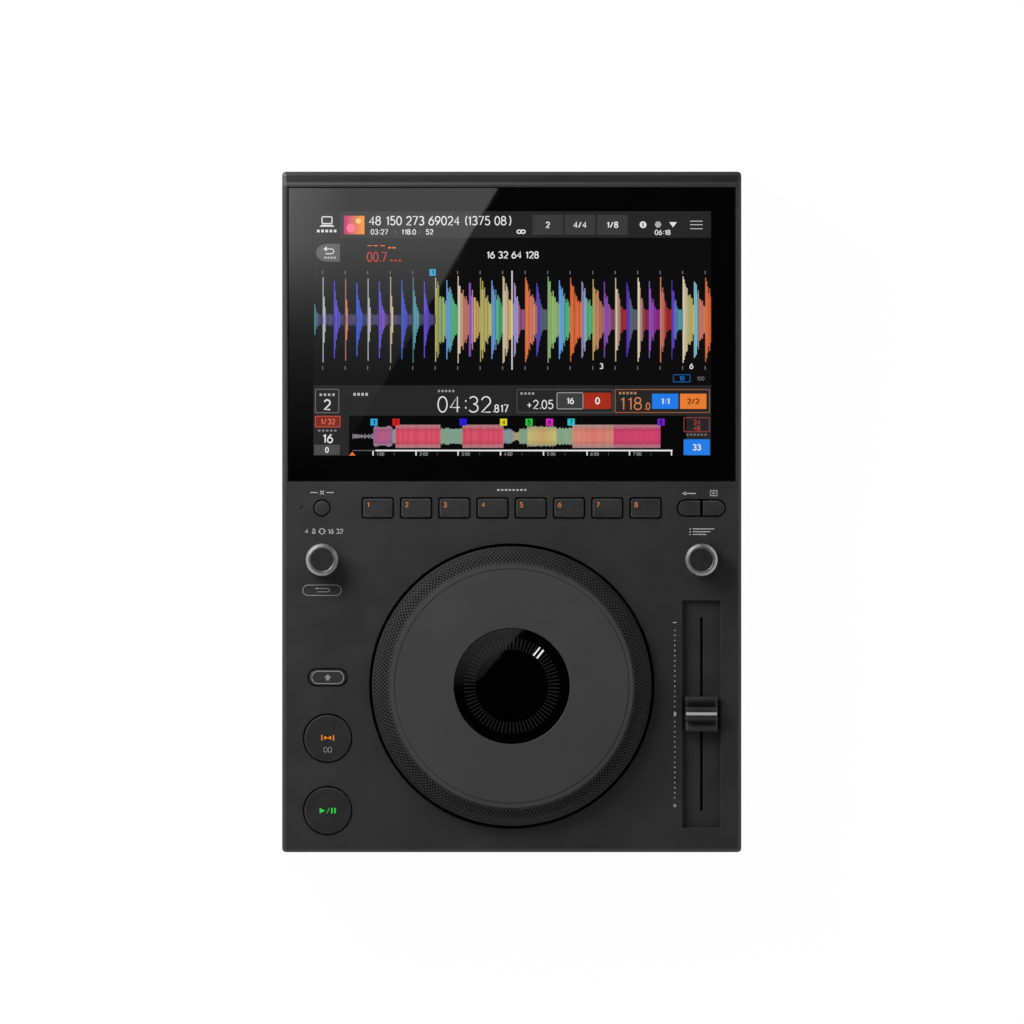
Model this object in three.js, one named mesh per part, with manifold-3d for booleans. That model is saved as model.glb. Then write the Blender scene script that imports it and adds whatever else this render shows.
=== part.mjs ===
// Tabletop media player: a flat deck with a large turning wheel, and a tilted touch display
// behind it. Eight pads, six buttons, two push-turn knobs and a tempo fader lie on the deck.
// Millimetres. X runs to the right, Y to the rear and Z up.
// The origin is under the centre of the body, on the surface that the feet stand on.

import * as THREE from "three";
import { mergeVertices } from "three/addons/utils/BufferGeometryUtils.js";
import Module from "manifold-3d";

const wasm = await Module();
wasm.setup();

// Fits that several pieces share
const seat = 0.3; // between a piece and what carries it
const over = 1; // how far a cut runs past the face that it opens

// Case: heights above the table, walls and edges
const footHeight = 5;
const trayWall = 1.5;
const seamHeight = 27;
const deckHeight = 62;
const deckWall = 3;
const caseWall = 2.5;
const bodyCorner = 2;
const edgeWidth = 2;
const edgeDrop = 1;

// Display: a glass sheet in a pocket of the case's tilted back, with the panel under it
const displayTilt = THREE.MathUtils.degToRad(10);
const glassWidth = 244.4;
const glassLength = 162.9;
const glassThickness = 1.8;
const glassSink = 0.6;
const railWidth = 3;
const displayFrontBorder = 0.5;
const displayRearBorder = 1.5;
const ledgeThickness = 1.5;
const panelSideBorder = 7.7;
const panelEndBorder = 6.95;
const panelThickness = 5;
const panelGap = 0.5;
const ridgeDepth = 1.5;
const ridgeDrop = 1.2;
const hoodDepth = 5.8;

// Wheel: radii, and heights above the deck
const ringGap = 1.6;
const ringSkirt = 3;
const ringWall = 3;
const ringShoulderHeight = 4;
const ringTopHeight = 12.4;
const ringFlangeThickness = 2.5;
const ringBand = 9.6;
const plateHeight = 14;
const plateThickness = 2.5;
const plateRimWidth = 2.7;
const plateRimDrop = 0.8;
const lensShare = 0.47;
const lensGap = 0.4;
const lensThickness = 2.3;
const lensSink = 0.2;
const screenThickness = 4.5;
const screenInset = 1.4;
const cupWall = 3;
const postInset = 11.4;
const bearingWall = 3.7;
const bearingHeight = 8;
const hubWall = 3.7;
const baseDepth = 11;
const baseWall = 2;
const baseFlange = 5;
const baseClearance = 1.1;
const shoulderWall = 2.5;
const codeDiscWidth = 12;
const codeDiscThickness = 1;
const codeNotchDepth = 3;
const codeNotches = 24;
const sensorWidth = 8;
const sensorLength = 9;
const sensorBite = 4;
const sensorSlot = 2.6;
const sensorCap = 2;

// Pads and buttons
const padCount = 8;
const padLength = 10.1;
const padGap = 4.9;
const padsToPair = 9.85;
const padCorner = 1.1;
const padRise = 1.2;
const padTravel = 1;
const capGap = 0.8;
const capEdge = 0.4;
const capRise = 1;
const flangeReach = 0.6;
const flangeThickness = 1.2;
const buttonTravel = 0.6;
const stemRadius = 1.5;
const deleteRadius = 4;
const pairWidth = 25.4;
const pairLength = 8.1;
const pairSplit = 1.6;
const shiftWidth = 20.3;
const shiftLength = 8.4;
const transportRadius = 12.75;
const indicatorRadius = 0.75;
const indicatorLength = 6;

// Push-turn knobs
const knobRadius = 8.85;
const knobHeight = 14.5;
const knobBevelWidth = 1.5;
const knobBevelDrop = 1.5;
const knobRimWidth = 1;
const knobDish = 0.4;
const knobTravel = 0.5;
const knobBoreDepth = 10;
const shaftRadius = 3;
const shaftGap = 0.3;
const plungerWall = 0.9;
const plungerFloor = 1;
const encoderWidth = 12;
const encoderHeight = 7.5;
const encoderFloor = 1;

// Tempo fader
const faderTravel = 100;
const faderCapWidth = 17.5;
const faderCapLength = 19.1;
const faderCapHeight = 9.5;
const faderCapEdge = 0.8;
const faderCapLift = 0.6;
const faderEndGap = 2.65;
const faderSideGap = 1.75;
const leverThickness = 0.8;
const leverLength = 4;
const leverSocket = 5;
const leverReach = 6;
const leverEndGap = 0.95;
const faderPlateThickness = 1.5;
const faderPlateBorder = 2;
const faderBodyWidth = 14;
const faderBodyEnd = 8;
const faderBodyHeight = 10;

// Where the controls lie on the deck
const jogSideMargin = 47.6;
const jogFrontMargin = 12.9;
const jogToPads = 13.55;
const padsToDisplay = 8.35;
const columnInset = 21.8;
const transportInset = 24.9;
const knobSetback = 28.3;
const playFrontMargin = 22.7;
const cueToPlay = 39.5;
const shiftToCue = 33.3;
const indicatorOffset = 11.1;
const faderFrontMargin = 13.3;
const faderToKnob = 8;

// Boards under the deck
const boardThickness = 1.6;
const boardDrop = 9;
const controlBoardSide = 14;
const controlBoardRear = 14;
const controlBoardFront = 12;
const boardBossRadius = 2.5;
const rearBossAside = 4.3;
const rearBossBehind = 10;
const frontBossAside = 10;
const frontBossAhead = 8;
const transportBoardMargin = 2;
const transportBossAside = 11;
const transportBossBehind = 17;
const boardNotchGap = 1;
const switchWidth = 6;
const switchHeight = 4;
const sheetThickness = 3;
const sheetMargin = 2;

// Bottom tray, feet, power supply and main board
const footRadius = 12;
const footTaper = 1.5;
const footInset = 20.5;
const footRecessRadius = 4;
const footRecessDepth = 2.5;
const supplyWidth = 90;
const supplyLength = 140;
const supplyHeight = 30;
const supplySideGap = 20.5;
const supplyOffsetY = 40;
const supplySlotWidth = 3;
const supplySlotMargin = 10;
const supplySlots = 6;
const ventSlots = 8;
const ventWidth = 3;
const ventLength = 60;
const ventPitch = 9;
const mainBoardHeight = 38;
const mainBoardSideGap = 23.5;
const mainBoardToInlet = 1.3;
const mainBoardLength = 80;
const boardPostRadius = 3.5;
const boardPostInset = 6;

// Rear: a recessed tub that holds the sockets
const tubSideInset = 20.5;
const tubHeight = 38;
const tubInset = 0.5;
const tubDepth = 9;
const tubWall = 1.5;
const socketProud = 0.8;
const socketGapShares = [3.2, 4.7, 21, 8.8, 6.8, 12.5, 11, 9, 4, 3];
const lockWidth = 3;
const lockHeight = 7;

// Sockets: outer size, then the hollow that the plug enters
const inletWidth = 27.4;
const inletHeight = 19.4;
const inletDepth = 22;
const inletFlange = 1.6;
const inletFlangeThickness = 2;
const inletHollowWidth = 23.8;
const inletHollowHeight = 16.2;
const inletHollowDepth = 16;
const pinWidth = 2;
const pinHeight = 3;
const pinLength = 12;
const pinSpacing = 7;
const pinOffset = 1.8;
const networkSize = { width: 16, height: 13.5, depth: 21 };
const networkHollow = { width: 11.8, height: 8, depth: 14 };
const hostSize = { width: 14.4, height: 7, depth: 14 };
const hostHollow = { width: 12.6, height: 5.2, depth: 10 };
const hostTongue = { width: 11.2, height: 1.8, depth: 9 };
const deviceSize = { width: 12, height: 10.8, depth: 15 };
const deviceHollow = { width: 8.6, height: 7.9, depth: 9 };
const deviceTongue = { width: 5.6, height: 3.2, depth: 8 };
const phonoBarrelRadius = 4.15;
const phonoBarrelLength = 8;
const phonoBoreRadius = 1.6;
const phonoBoreDepth = 7;
const phonoCollarRadius = 5.5;
const phonoCollarThickness = 1;
const phonoBlock = { width: 11, height: 13, depth: 11 };
const powerCapWidth = 12;
const powerCapHeight = 8;
const powerCapProud = 2.5;
const powerCapBehind = 1.5;
const powerFlange = 1;
const powerTravel = 1.5;
const powerSwitch = { width: 14, height: 11, depth: 16 };

// Steps round a circle or a corner
const wheelSteps = 64;
const hiddenSteps = 40;
const roundSteps = 32;
const mediumSteps = 20;
const smallSteps = 16;
const cornerSteps = 3;

// Places worked out from the sizes above
const bodyWidth = glassWidth + 2 * (seat + railWidth);
const slopeLength = displayFrontBorder + glassLength + displayRearBorder;
const halfWidth = bodyWidth / 2;
const jogOpening = halfWidth - jogSideMargin;
const ringRadius = jogOpening - ringGap;
const plateRadius = ringRadius - ringBand;
const lensRadius = plateRadius * lensShare;
const postRadius = lensRadius - postInset;
const panelWidth = glassWidth - 2 * panelSideBorder;
const panelLength = glassLength - 2 * panelEndBorder;
const padHoleLength = padLength + 2 * capGap;
const slopeDepth = slopeLength * Math.cos(displayTilt);
const faderRecessWidth = faderCapWidth + 2 * faderSideGap;
const faderRecessLength = faderTravel + faderCapLength + 2 * faderEndGap;
const wheelColumn = jogFrontMargin + 2 * jogOpening + jogToPads + padHoleLength;
const faderColumn = faderFrontMargin + faderRecessLength + faderToKnob + knobRadius + knobSetback;
const controlDepth = Math.max(wheelColumn, faderColumn + padHoleLength / 2);
const deckDepth = controlDepth + padsToDisplay;
const bodyDepth = deckDepth + slopeDepth + ridgeDepth + hoodDepth;
const frontY = -bodyDepth / 2;
const rearY = bodyDepth / 2;
const slopeEndY = rearY - hoodDepth - ridgeDepth;
const slopeStartY = slopeEndY - slopeDepth;
const slopeEndZ = deckHeight + slopeLength * Math.sin(displayTilt);
const hoodZ = slopeEndZ - ridgeDrop;
const displayWall = glassSink + glassThickness + seat + ledgeThickness;
const deckUnder = deckHeight - deckWall;
const jogY = frontY + (jogFrontMargin + controlDepth - padHoleLength - jogToPads) / 2;
const padY = slopeStartY - padsToDisplay - padHoleLength / 2;
const columnX = halfWidth - columnInset;
const padRowWidth = 2 * (columnX - pairWidth / 2 - padsToPair);
const padWidth = (padRowWidth - (padCount - 1) * padGap) / padCount;
const padPitch = padWidth + padGap;
const transportX = -(halfWidth - transportInset);
const knobY = padY - knobSetback;
const playY = frontY + playFrontMargin;
const cueY = playY + cueToPlay;
const shiftY = cueY + shiftToCue;
const faderY = frontY + faderFrontMargin + faderRecessLength / 2;
const faderPlateTop = deckUnder - seat;
const faderSlotWidth = leverThickness + 2 * seat;
const faderSlotLength = faderTravel + leverLength + 2 * leverEndGap;
const boardTop = deckUnder - boardDrop;
const flangeTop = deckUnder - seat;
const flangeBottom = flangeTop - flangeThickness;
const trayFloor = footHeight + trayWall;
const supplyX = -(halfWidth - supplySideGap - supplyWidth / 2);
const tubWidth = bodyWidth - 2 * tubSideInset;
const tubFaceY = rearY - tubInset;
const socketY = tubFaceY - tubDepth;
const socketBackY = socketY - tubWall;
const baseRadius = jogOpening + baseClearance + baseFlange;
const buttonHole = transportRadius + capGap;

// Where the sockets lie in the tub, from left to right: the room that they leave is shared out
const socketWidths = [
  inletWidth + 2 * inletFlange,
  powerSwitch.width,
  networkSize.width,
  hostSize.width,
  deviceSize.width,
  2 * phonoCollarRadius,
  2 * phonoCollarRadius,
  2 * phonoCollarRadius,
  lockWidth,
];
const total = (sizes) => sizes.reduce((sum, size) => sum + size, 0);
const socketRoom = tubWidth - 2 * tubWall - total(socketWidths);
const socketPlaces = socketWidths.map((width, index) => {
  const gapsBefore = total(socketGapShares.slice(0, index + 1)) / total(socketGapShares);
  const widthsBefore = total(socketWidths.slice(0, index));
  return -tubWidth / 2 + tubWall + socketRoom * gapsBefore + widthsBefore + width / 2;
});
const [inletX, powerX, networkX, hostPortX, devicePortX] = socketPlaces;
const [digitalX, audioRightX, audioLeftX, lockX] = socketPlaces.slice(5);

// Moulded, glass, metal and rubber finishes
const finishes = {
  case: { color: 0x2a2a2c, roughness: 0.55, metalness: 0 },
  tray: { color: 0x1b1b1d, roughness: 0.5, metalness: 0.3 },
  glass: { color: 0x040405, roughness: 0.06, metalness: 0 },
  panel: { color: 0x15181c, roughness: 0.3, metalness: 0.1 },
  cap: { color: 0x2d2d2f, roughness: 0.6, metalness: 0 },
  plate: { color: 0x3a3a3c, roughness: 0.35, metalness: 0.4 },
  ring: { color: 0x232325, roughness: 0.6, metalness: 0 },
  knob: { color: 0x8a8c90, roughness: 0.3, metalness: 0.8 },
  steel: { color: 0xa9abae, roughness: 0.35, metalness: 0.9 },
  rubber: { color: 0x111112, roughness: 0.9, metalness: 0 },
  board: { color: 0x1d4a2c, roughness: 0.6, metalness: 0 },
  shell: { color: 0xb9bbbe, roughness: 0.3, metalness: 0.9 },
  black: { color: 0x0c0c0d, roughness: 0.5, metalness: 0 },
};

// A closed mesh as a solid that can be joined and cut
function solidFrom(geometry) {
  const plain = geometry.index ? geometry.toNonIndexed() : geometry.clone();
  plain.deleteAttribute("normal");
  plain.deleteAttribute("uv");
  const merged = mergeVertices(plain);
  const vertProperties = merged.attributes.position.array;
  const triVerts = new Uint32Array(merged.index.array);
  return new wasm.Manifold(new wasm.Mesh({ numProp: 3, vertProperties, triVerts }));
}

// A joined or cut solid as a mesh geometry
function geometryFrom(solid) {
  const mesh = solid.getMesh();
  const geometry = new THREE.BufferGeometry();
  geometry.setAttribute("position", new THREE.BufferAttribute(mesh.vertProperties, 3));
  geometry.setIndex(new THREE.BufferAttribute(mesh.triVerts, 1));
  const flat = geometry.toNonIndexed();
  flat.computeVertexNormals();
  return flat;
}

const asSolid = (thing) => (thing.isBufferGeometry ? solidFrom(thing) : thing);

function join(...things) {
  return things.map(asSolid).reduce((whole, next) => whole.add(next));
}

function cut(base, ...tools) {
  return tools.map(asSolid).reduce((whole, tool) => whole.subtract(tool), asSolid(base));
}

// A box between two corners
function block(low, high) {
  const size = high.map((value, axis) => value - low[axis]);
  const middle = high.map((value, axis) => (value + low[axis]) / 2);
  return new THREE.BoxGeometry(...size).translate(...middle);
}

// A box centred on x and y that stands between two heights
function post(x, y, width, length, bottom, top) {
  return block([x - width / 2, y - length / 2, bottom], [x + width / 2, y + length / 2, top]);
}

// Corner points of a circle
function circle(radius, steps, x = 0, y = 0) {
  const points = [];
  for (let step = 0; step < steps; step += 1) {
    const angle = (2 * Math.PI * step) / steps;
    points.push([x + radius * Math.cos(angle), y + radius * Math.sin(angle)]);
  }
  return points;
}

// Corner points of a rectangle with round corners, centred on x and y
function roundedBox(width, length, radius, x = 0, y = 0) {
  const points = [];
  const reachX = width / 2 - radius;
  const reachY = length / 2 - radius;
  const corners = [[1, 1], [-1, 1], [-1, -1], [1, -1]];
  corners.forEach(([signX, signY], quarter) => {
    for (let step = 0; step <= cornerSteps; step += 1) {
      const angle = (Math.PI / 2) * (quarter + step / cornerSteps);
      const cornerX = x + signX * reachX;
      const cornerY = y + signY * reachY;
      points.push([cornerX + radius * Math.cos(angle), cornerY + radius * Math.sin(angle)]);
    }
  });
  return points;
}

// Corner points of a rectangle whose left and right ends are half circles
function capsule(width, length, x = 0, y = 0) {
  const radius = length / 2;
  const reach = width / 2 - radius;
  const steps = smallSteps / 2;
  const points = [];
  [1, -1].forEach((side) => {
    for (let step = 0; step <= steps; step += 1) {
      const angle = Math.PI * (step / steps - side / 2);
      points.push([x + side * reach + radius * Math.cos(angle), y + radius * Math.sin(angle)]);
    }
  });
  return points;
}

// An outline raised from one height to another
function slab(points, bottom, top) {
  const shape = new THREE.Shape(points.map(([x, y]) => new THREE.Vector2(x, y)));
  const raised = new THREE.ExtrudeGeometry(shape, { depth: top - bottom, bevelEnabled: false });
  return raised.translate(0, 0, bottom);
}

// A profile of radius and height, anticlockwise, turned about the upright axis
function turned(profile, steps) {
  const points = profile.map(([radius, height]) => new THREE.Vector2(radius, height));
  return new THREE.LatheGeometry(points, steps).rotateX(Math.PI / 2);
}

// A turned profile that closes on itself, as a ring does
function ring(profile, steps) {
  return turned([...profile, profile[0]], steps);
}

// A solid through upright sections, each at an x, with one outline of y and z, anticlockwise
function loftAcross(sections) {
  const count = sections[0].outline.length;
  const positions = sections.flatMap(({ x, outline }) => outline.flatMap(([y, z]) => [x, y, z]));
  const faces = [];
  for (let section = 0; section + 1 < sections.length; section += 1) {
    for (let corner = 0; corner < count; corner += 1) {
      const a = section * count + corner;
      const b = section * count + ((corner + 1) % count);
      faces.push(a, b, b + count, a, b + count, a + count);
    }
  }
  const last = (sections.length - 1) * count;
  const capOf = ({ outline }) => {
    const contour = outline.map(([y, z]) => new THREE.Vector2(y, z));
    return THREE.ShapeUtils.triangulateShape(contour, []);
  };
  capOf(sections[0]).forEach(([a, b, c]) => faces.push(c, b, a));
  capOf(sections.at(-1)).forEach(([a, b, c]) => faces.push(last + a, last + b, last + c));
  const geometry = new THREE.BufferGeometry();
  geometry.setAttribute("position", new THREE.Float32BufferAttribute(positions, 3));
  geometry.setIndex(faces);
  geometry.computeVertexNormals();
  return geometry;
}

// The tilted frame of the display: origin on the front edge of the slope, y up the slope
const displayPlace = new THREE.Matrix4()
  .makeTranslation(0, slopeStartY, deckHeight)
  .multiply(new THREE.Matrix4().makeRotationX(displayTilt));

const player = new THREE.Group();

// One named piece with a material of its own
function addPiece(parent, name, shape, finish, place = [0, 0, 0]) {
  const geometry = shape.isBufferGeometry ? shape : geometryFrom(shape);
  const mesh = new THREE.Mesh(geometry, new THREE.MeshStandardMaterial(finishes[finish]));
  mesh.name = name;
  mesh.position.set(...place);
  parent.add(mesh);
  return mesh;
}

function addGroup(parent, x, y, z) {
  const group = new THREE.Group();
  group.position.set(x, y, z);
  parent.add(group);
  return group;
}

// Where each pad lies across the deck
const padPlaces = Array.from({ length: padCount }, (_, index) => (index - (padCount - 1) / 2) * padPitch);

// Where the halves of the button pair lie
const pairHalf = (pairWidth - pairSplit) / 2;
const pairShift = (pairHalf + pairSplit) / 2;

// Bosses that the boards under the deck are screwed to
const bossPlaces = [
  [columnX + rearBossAside, padY + rearBossBehind],
  [-columnX - rearBossAside, padY + rearBossBehind],
  [columnX + frontBossAside, knobY - frontBossAhead],
  [-columnX - frontBossAside, knobY - frontBossAhead],
  [transportX - transportBossAside, cueY + transportBossBehind],
  [transportX, (cueY + playY) / 2],
];

// Top case: deck, skirt and the raised back that frames the display, in one moulding
function topCaseOutside() {
  const outline = (drop) => [
    [frontY, seamHeight],
    [rearY, seamHeight],
    [rearY, hoodZ - edgeDrop - drop],
    [rearY - edgeWidth, hoodZ - drop],
    [slopeEndY + ridgeDepth, hoodZ - drop],
    [slopeEndY, slopeEndZ - drop],
    [slopeStartY, deckHeight - drop],
    [frontY + edgeWidth, deckHeight - drop],
    [frontY, deckHeight - edgeDrop - drop],
  ];
  const moulding = loftAcross([
    { x: -halfWidth, outline: outline(edgeDrop) },
    { x: -halfWidth + edgeWidth, outline: outline(0) },
    { x: halfWidth - edgeWidth, outline: outline(0) },
    { x: halfWidth, outline: outline(edgeDrop) },
  ]);
  const plan = slab(roundedBox(bodyWidth, bodyDepth, bodyCorner), seamHeight - over, slopeEndZ + over);
  return solidFrom(moulding).intersect(solidFrom(plan));
}

function topCaseInside() {
  const frontIn = frontY + caseWall;
  const rearIn = rearY - caseWall;
  const wallDrop = displayWall / Math.cos(displayTilt);
  const rise = Math.tan(displayTilt);
  const outline = [
    [frontIn, seamHeight - over],
    [rearIn, seamHeight - over],
    [rearIn, deckHeight + (rearIn - slopeStartY) * rise - wallDrop],
    [slopeStartY + (wallDrop - deckWall) / rise, deckUnder],
    [frontIn, deckUnder],
  ];
  const side = halfWidth - caseWall;
  return loftAcross([{ x: -side, outline }, { x: side, outline }]);
}

function deckHoles() {
  const through = (points) => slab(points, deckUnder - over, deckHeight + over);
  const holes = padPlaces.map((x) =>
    through(roundedBox(padWidth + 2 * capGap, padHoleLength, padCorner, x, padY)),
  );
  holes.push(through(circle(jogOpening, wheelSteps, 0, jogY)));
  holes.push(through(circle(deleteRadius + capGap, smallSteps, -columnX, padY)));
  holes.push(through(capsule(pairWidth + 2 * capGap, pairLength + 2 * capGap, columnX, padY)));
  holes.push(through(capsule(shiftWidth + 2 * capGap, shiftLength + 2 * capGap, transportX, shiftY)));
  [cueY, playY].forEach((y) => holes.push(through(circle(buttonHole, roundSteps, transportX, y))));
  [-columnX, columnX].forEach((x) =>
    holes.push(through(circle(shaftRadius + 2 * shaftGap, smallSteps, x, knobY))),
  );
  holes.push(through(circle(indicatorRadius + seat, smallSteps / 2, -columnX - indicatorOffset, padY)));
  const halfRecess = [faderRecessWidth / 2, faderRecessLength / 2];
  holes.push(
    block(
      [columnX - halfRecess[0], faderY - halfRecess[1], deckUnder - over],
      [columnX + halfRecess[0], faderY + halfRecess[1], deckHeight + over],
    ),
  );
  return holes;
}

function displayHoles() {
  const pocket = block(
    [-glassWidth / 2 - seat, displayFrontBorder - seat, -displayWall + ledgeThickness],
    [glassWidth / 2 + seat, displayFrontBorder + glassLength + seat, over],
  );
  const middle = displayFrontBorder + glassLength / 2;
  const window = block(
    [-panelWidth / 2 - panelGap, middle - panelLength / 2 - panelGap, -displayWall - over],
    [panelWidth / 2 + panelGap, middle + panelLength / 2 + panelGap, over],
  );
  return [pocket, window].map((hole) => hole.applyMatrix4(displayPlace));
}

function topCase() {
  const rearOpening = block(
    [-tubWidth / 2 - seat, rearY - caseWall - over, seamHeight - over],
    [tubWidth / 2 + seat, rearY + over, seamHeight + tubHeight + seat],
  );
  const shell = cut(topCaseOutside(), topCaseInside(), rearOpening, ...displayHoles());
  const bosses = bossPlaces.map(([x, y]) =>
    slab(circle(boardBossRadius, smallSteps, x, y), boardTop + seat, deckHeight - deckWall / 2),
  );
  return cut(join(shell, ...bosses), ...deckHoles());
}

// Bottom tray: floor, upright walls, vents and the posts of the main board
const mainBoardRearY = socketBackY - seat;
const mainBoardFrontY = mainBoardRearY - mainBoardLength;
const mainBoardLeft = inletX + inletWidth / 2 + mainBoardToInlet;
const mainBoardRight = halfWidth - mainBoardSideGap;
const boardPostPlaces = [mainBoardLeft + boardPostInset, mainBoardRight - boardPostInset].flatMap((x) =>
  [mainBoardFrontY + boardPostInset, mainBoardRearY - boardPostInset].map((y) => [x, y]),
);

function bottomTray() {
  const outside = slab(roundedBox(bodyWidth, bodyDepth, bodyCorner), footHeight, seamHeight - seat);
  const inside = post(0, 0, bodyWidth - 2 * trayWall, bodyDepth - 2 * trayWall, trayFloor, seamHeight + over);
  const vents = Array.from({ length: ventSlots }, (_, index) => {
    const x = supplyX + (index - (ventSlots - 1) / 2) * ventPitch;
    return post(x, -supplyOffsetY, ventWidth, ventLength, footHeight - over, trayFloor + over);
  });
  const postTop = mainBoardHeight - boardThickness - seat;
  const posts = boardPostPlaces.map(([x, y]) =>
    slab(circle(boardPostRadius, smallSteps / 2, x, y), trayFloor - trayWall / 2, postTop),
  );
  return join(cut(outside, inside, ...vents), ...posts);
}

// Rubber foot with a screw recess in its underside
function foot() {
  const profile = [
    [0, footRecessDepth],
    [footRecessRadius, footRecessDepth],
    [footRecessRadius, 0],
    [footRadius - footTaper, 0],
    [footRadius, footTaper],
    [footRadius, footHeight],
    [0, footHeight],
  ];
  return turned(profile, mediumSteps);
}

function addCase() {
  addPiece(player, "bottom_tray", bottomTray(), "tray");
  addPiece(player, "top_case", topCase(), "case");
  const footX = halfWidth - footInset;
  const footY = rearY - footInset;
  [["front", -footY], ["rear", footY]].forEach(([end, y]) => {
    [["left", -footX], ["right", footX]].forEach(([side, x]) => {
      addPiece(player, "foot_" + end + "_" + side, foot(), "rubber", [x, y, 0]);
    });
  });
}

// Touch glass in its pocket, with the panel under it, in the tilted frame
function addDisplay() {
  const tilted = addGroup(player, 0, slopeStartY, deckHeight);
  tilted.rotation.x = displayTilt;
  const middle = displayFrontBorder + glassLength / 2;
  const glassTop = -glassSink;
  const glass = post(0, 0, glassWidth, glassLength, -glassThickness, 0);
  addPiece(tilted, "touch_glass", glass, "glass", [0, middle, glassTop]);
  const panel = post(0, 0, panelWidth, panelLength, -panelThickness, 0);
  addPiece(tilted, "display_panel", panel, "panel", [0, middle, glassTop - glassThickness - seat]);
}

// Wheel: a fixed base with a bearing and a round screen, and the ring and plate that turn about it
const plateUnder = plateHeight - plateThickness;
const flangeUp = plateUnder - seat;
const flangeLow = flangeUp - ringFlangeThickness;
const lensTop = plateHeight - lensSink;
const lensUnder = lensTop - lensThickness;
const screenTop = lensUnder - seat;
const screenUnder = screenTop - screenThickness;
const cupFloorTop = screenUnder - seat;
const cupFloorUnder = cupFloorTop - cupWall;
const bearingInner = postRadius + seat;
const bearingOuter = bearingInner + bearingWall;
const hubInner = bearingOuter + seat;
const hubOuter = hubInner + hubWall;
const baseFlangeTop = -deckWall - seat;
const baseFloorUnder = baseFlangeTop - baseDepth;
const baseFloorTop = baseFloorUnder + baseWall;
const bearingBottom = baseFloorTop + shoulderWall;
const hubBottom = bearingBottom;
const baseInner = jogOpening + baseClearance;

function jogBase() {
  const profile = [
    [0, baseFloorUnder],
    [baseInner + baseWall, baseFloorUnder],
    [baseInner + baseWall, baseFlangeTop - baseWall],
    [baseRadius, baseFlangeTop - baseWall],
    [baseRadius, baseFlangeTop],
    [baseInner, baseFlangeTop],
    [baseInner, baseFloorTop],
    [postRadius + shoulderWall, baseFloorTop],
    [postRadius + shoulderWall, bearingBottom - seat],
    [postRadius, bearingBottom - seat],
    [postRadius, screenUnder - seat],
    [0, screenUnder - seat],
  ];
  return turned(profile, hiddenSteps);
}

function jogBearing() {
  const profile = [
    [bearingInner, 0],
    [bearingOuter, 0],
    [bearingOuter, bearingHeight],
    [bearingInner, bearingHeight],
  ];
  return ring(profile, hiddenSteps);
}

// Textured outer ring, its web under the plate, the cup round the screen and the hub
function jogRing() {
  const wellRadius = lensRadius + lensGap + cupWall / 2;
  const crestRadius = plateRadius + seat;
  const slopeRun = ringRadius - crestRadius;
  const slopeRise = ringTopHeight - ringShoulderHeight;
  const crownShares = [[0.115, 0.36], [0.4, 0.7]];
  const crown = crownShares.map(([inward, upward]) => [
    ringRadius - inward * slopeRun,
    ringShoulderHeight + upward * slopeRise,
  ]);
  const profile = [
    [hubInner, hubBottom],
    [hubOuter, hubBottom],
    [hubOuter, cupFloorUnder],
    [wellRadius + cupWall, cupFloorUnder],
    [wellRadius + cupWall, flangeLow],
    [ringRadius - ringWall, flangeLow],
    [ringRadius - ringWall, -ringSkirt],
    [ringRadius, -ringSkirt],
    [ringRadius, ringShoulderHeight],
    ...crown,
    [crestRadius, ringTopHeight],
    [crestRadius, flangeUp],
    [wellRadius, flangeUp],
    [wellRadius, cupFloorTop],
    [hubInner, cupFloorTop],
  ];
  return ring(profile, wheelSteps);
}

function jogPlate() {
  const inner = lensRadius + lensGap;
  const profile = [
    [inner, plateUnder],
    [plateRadius, plateUnder],
    [plateRadius, plateHeight - plateRimDrop],
    [plateRadius - plateRimWidth, plateHeight],
    [inner, plateHeight],
  ];
  return ring(profile, wheelSteps);
}

// Code disc with notches round its rim, which the sensor reads
function codeDisc() {
  const outer = hubOuter + seat + codeDiscWidth;
  const points = [];
  for (let step = 0; step < 4 * codeNotches; step += 1) {
    const radius = step % 4 < 2 ? outer : outer - codeNotchDepth;
    const angle = (2 * Math.PI * step) / (4 * codeNotches);
    points.push([radius * Math.cos(angle), radius * Math.sin(angle)]);
  }
  const bore = slab(circle(hubOuter + seat, hiddenSteps), -over, codeDiscThickness + over);
  return cut(slab(points, 0, codeDiscThickness), bore);
}

// Fork that stands on the base with the code disc's rim in its slot
function jogSensor() {
  const discRim = hubOuter + seat + codeDiscWidth;
  const near = discRim - sensorBite;
  const slotLow = hubBottom + codeDiscThickness / 2 - sensorSlot / 2;
  const slotHigh = slotLow + sensorSlot;
  const half = sensorWidth / 2;
  const body = block([near, -half, baseFloorTop + seat], [near + sensorLength, half, slotHigh + sensorCap]);
  const slot = block([near - over, -half - over, slotLow], [discRim + seat + seat, half + over, slotHigh]);
  return cut(body, slot);
}

function addWheel() {
  const wheel = addGroup(player, 0, jogY, deckHeight);
  addPiece(wheel, "jog_base", jogBase(), "black");
  addPiece(wheel, "jog_bearing", jogBearing(), "steel", [0, 0, bearingBottom]);
  addPiece(wheel, "jog_sensor", jogSensor(), "black");
  const screen = slab(circle(lensRadius - screenInset, hiddenSteps), 0, screenThickness);
  addPiece(wheel, "jog_screen", screen, "panel", [0, 0, screenUnder]);
  const lens = slab(circle(lensRadius, wheelSteps), 0, lensThickness);
  addPiece(wheel, "jog_lens", lens, "glass", [0, 0, lensUnder]);
  addPiece(wheel, "jog_ring", jogRing(), "ring");
  addPiece(wheel, "jog_plate", jogPlate(), "plate");
  addPiece(wheel, "jog_code_disc", codeDisc(), "steel", [0, 0, hubBottom]);
}

const sheetTop = boardTop + seat + sheetThickness;
const stemBottom = boardTop + switchHeight + buttonTravel + seat;
const flangeGrowth = 2 * (capGap + flangeReach);

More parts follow.
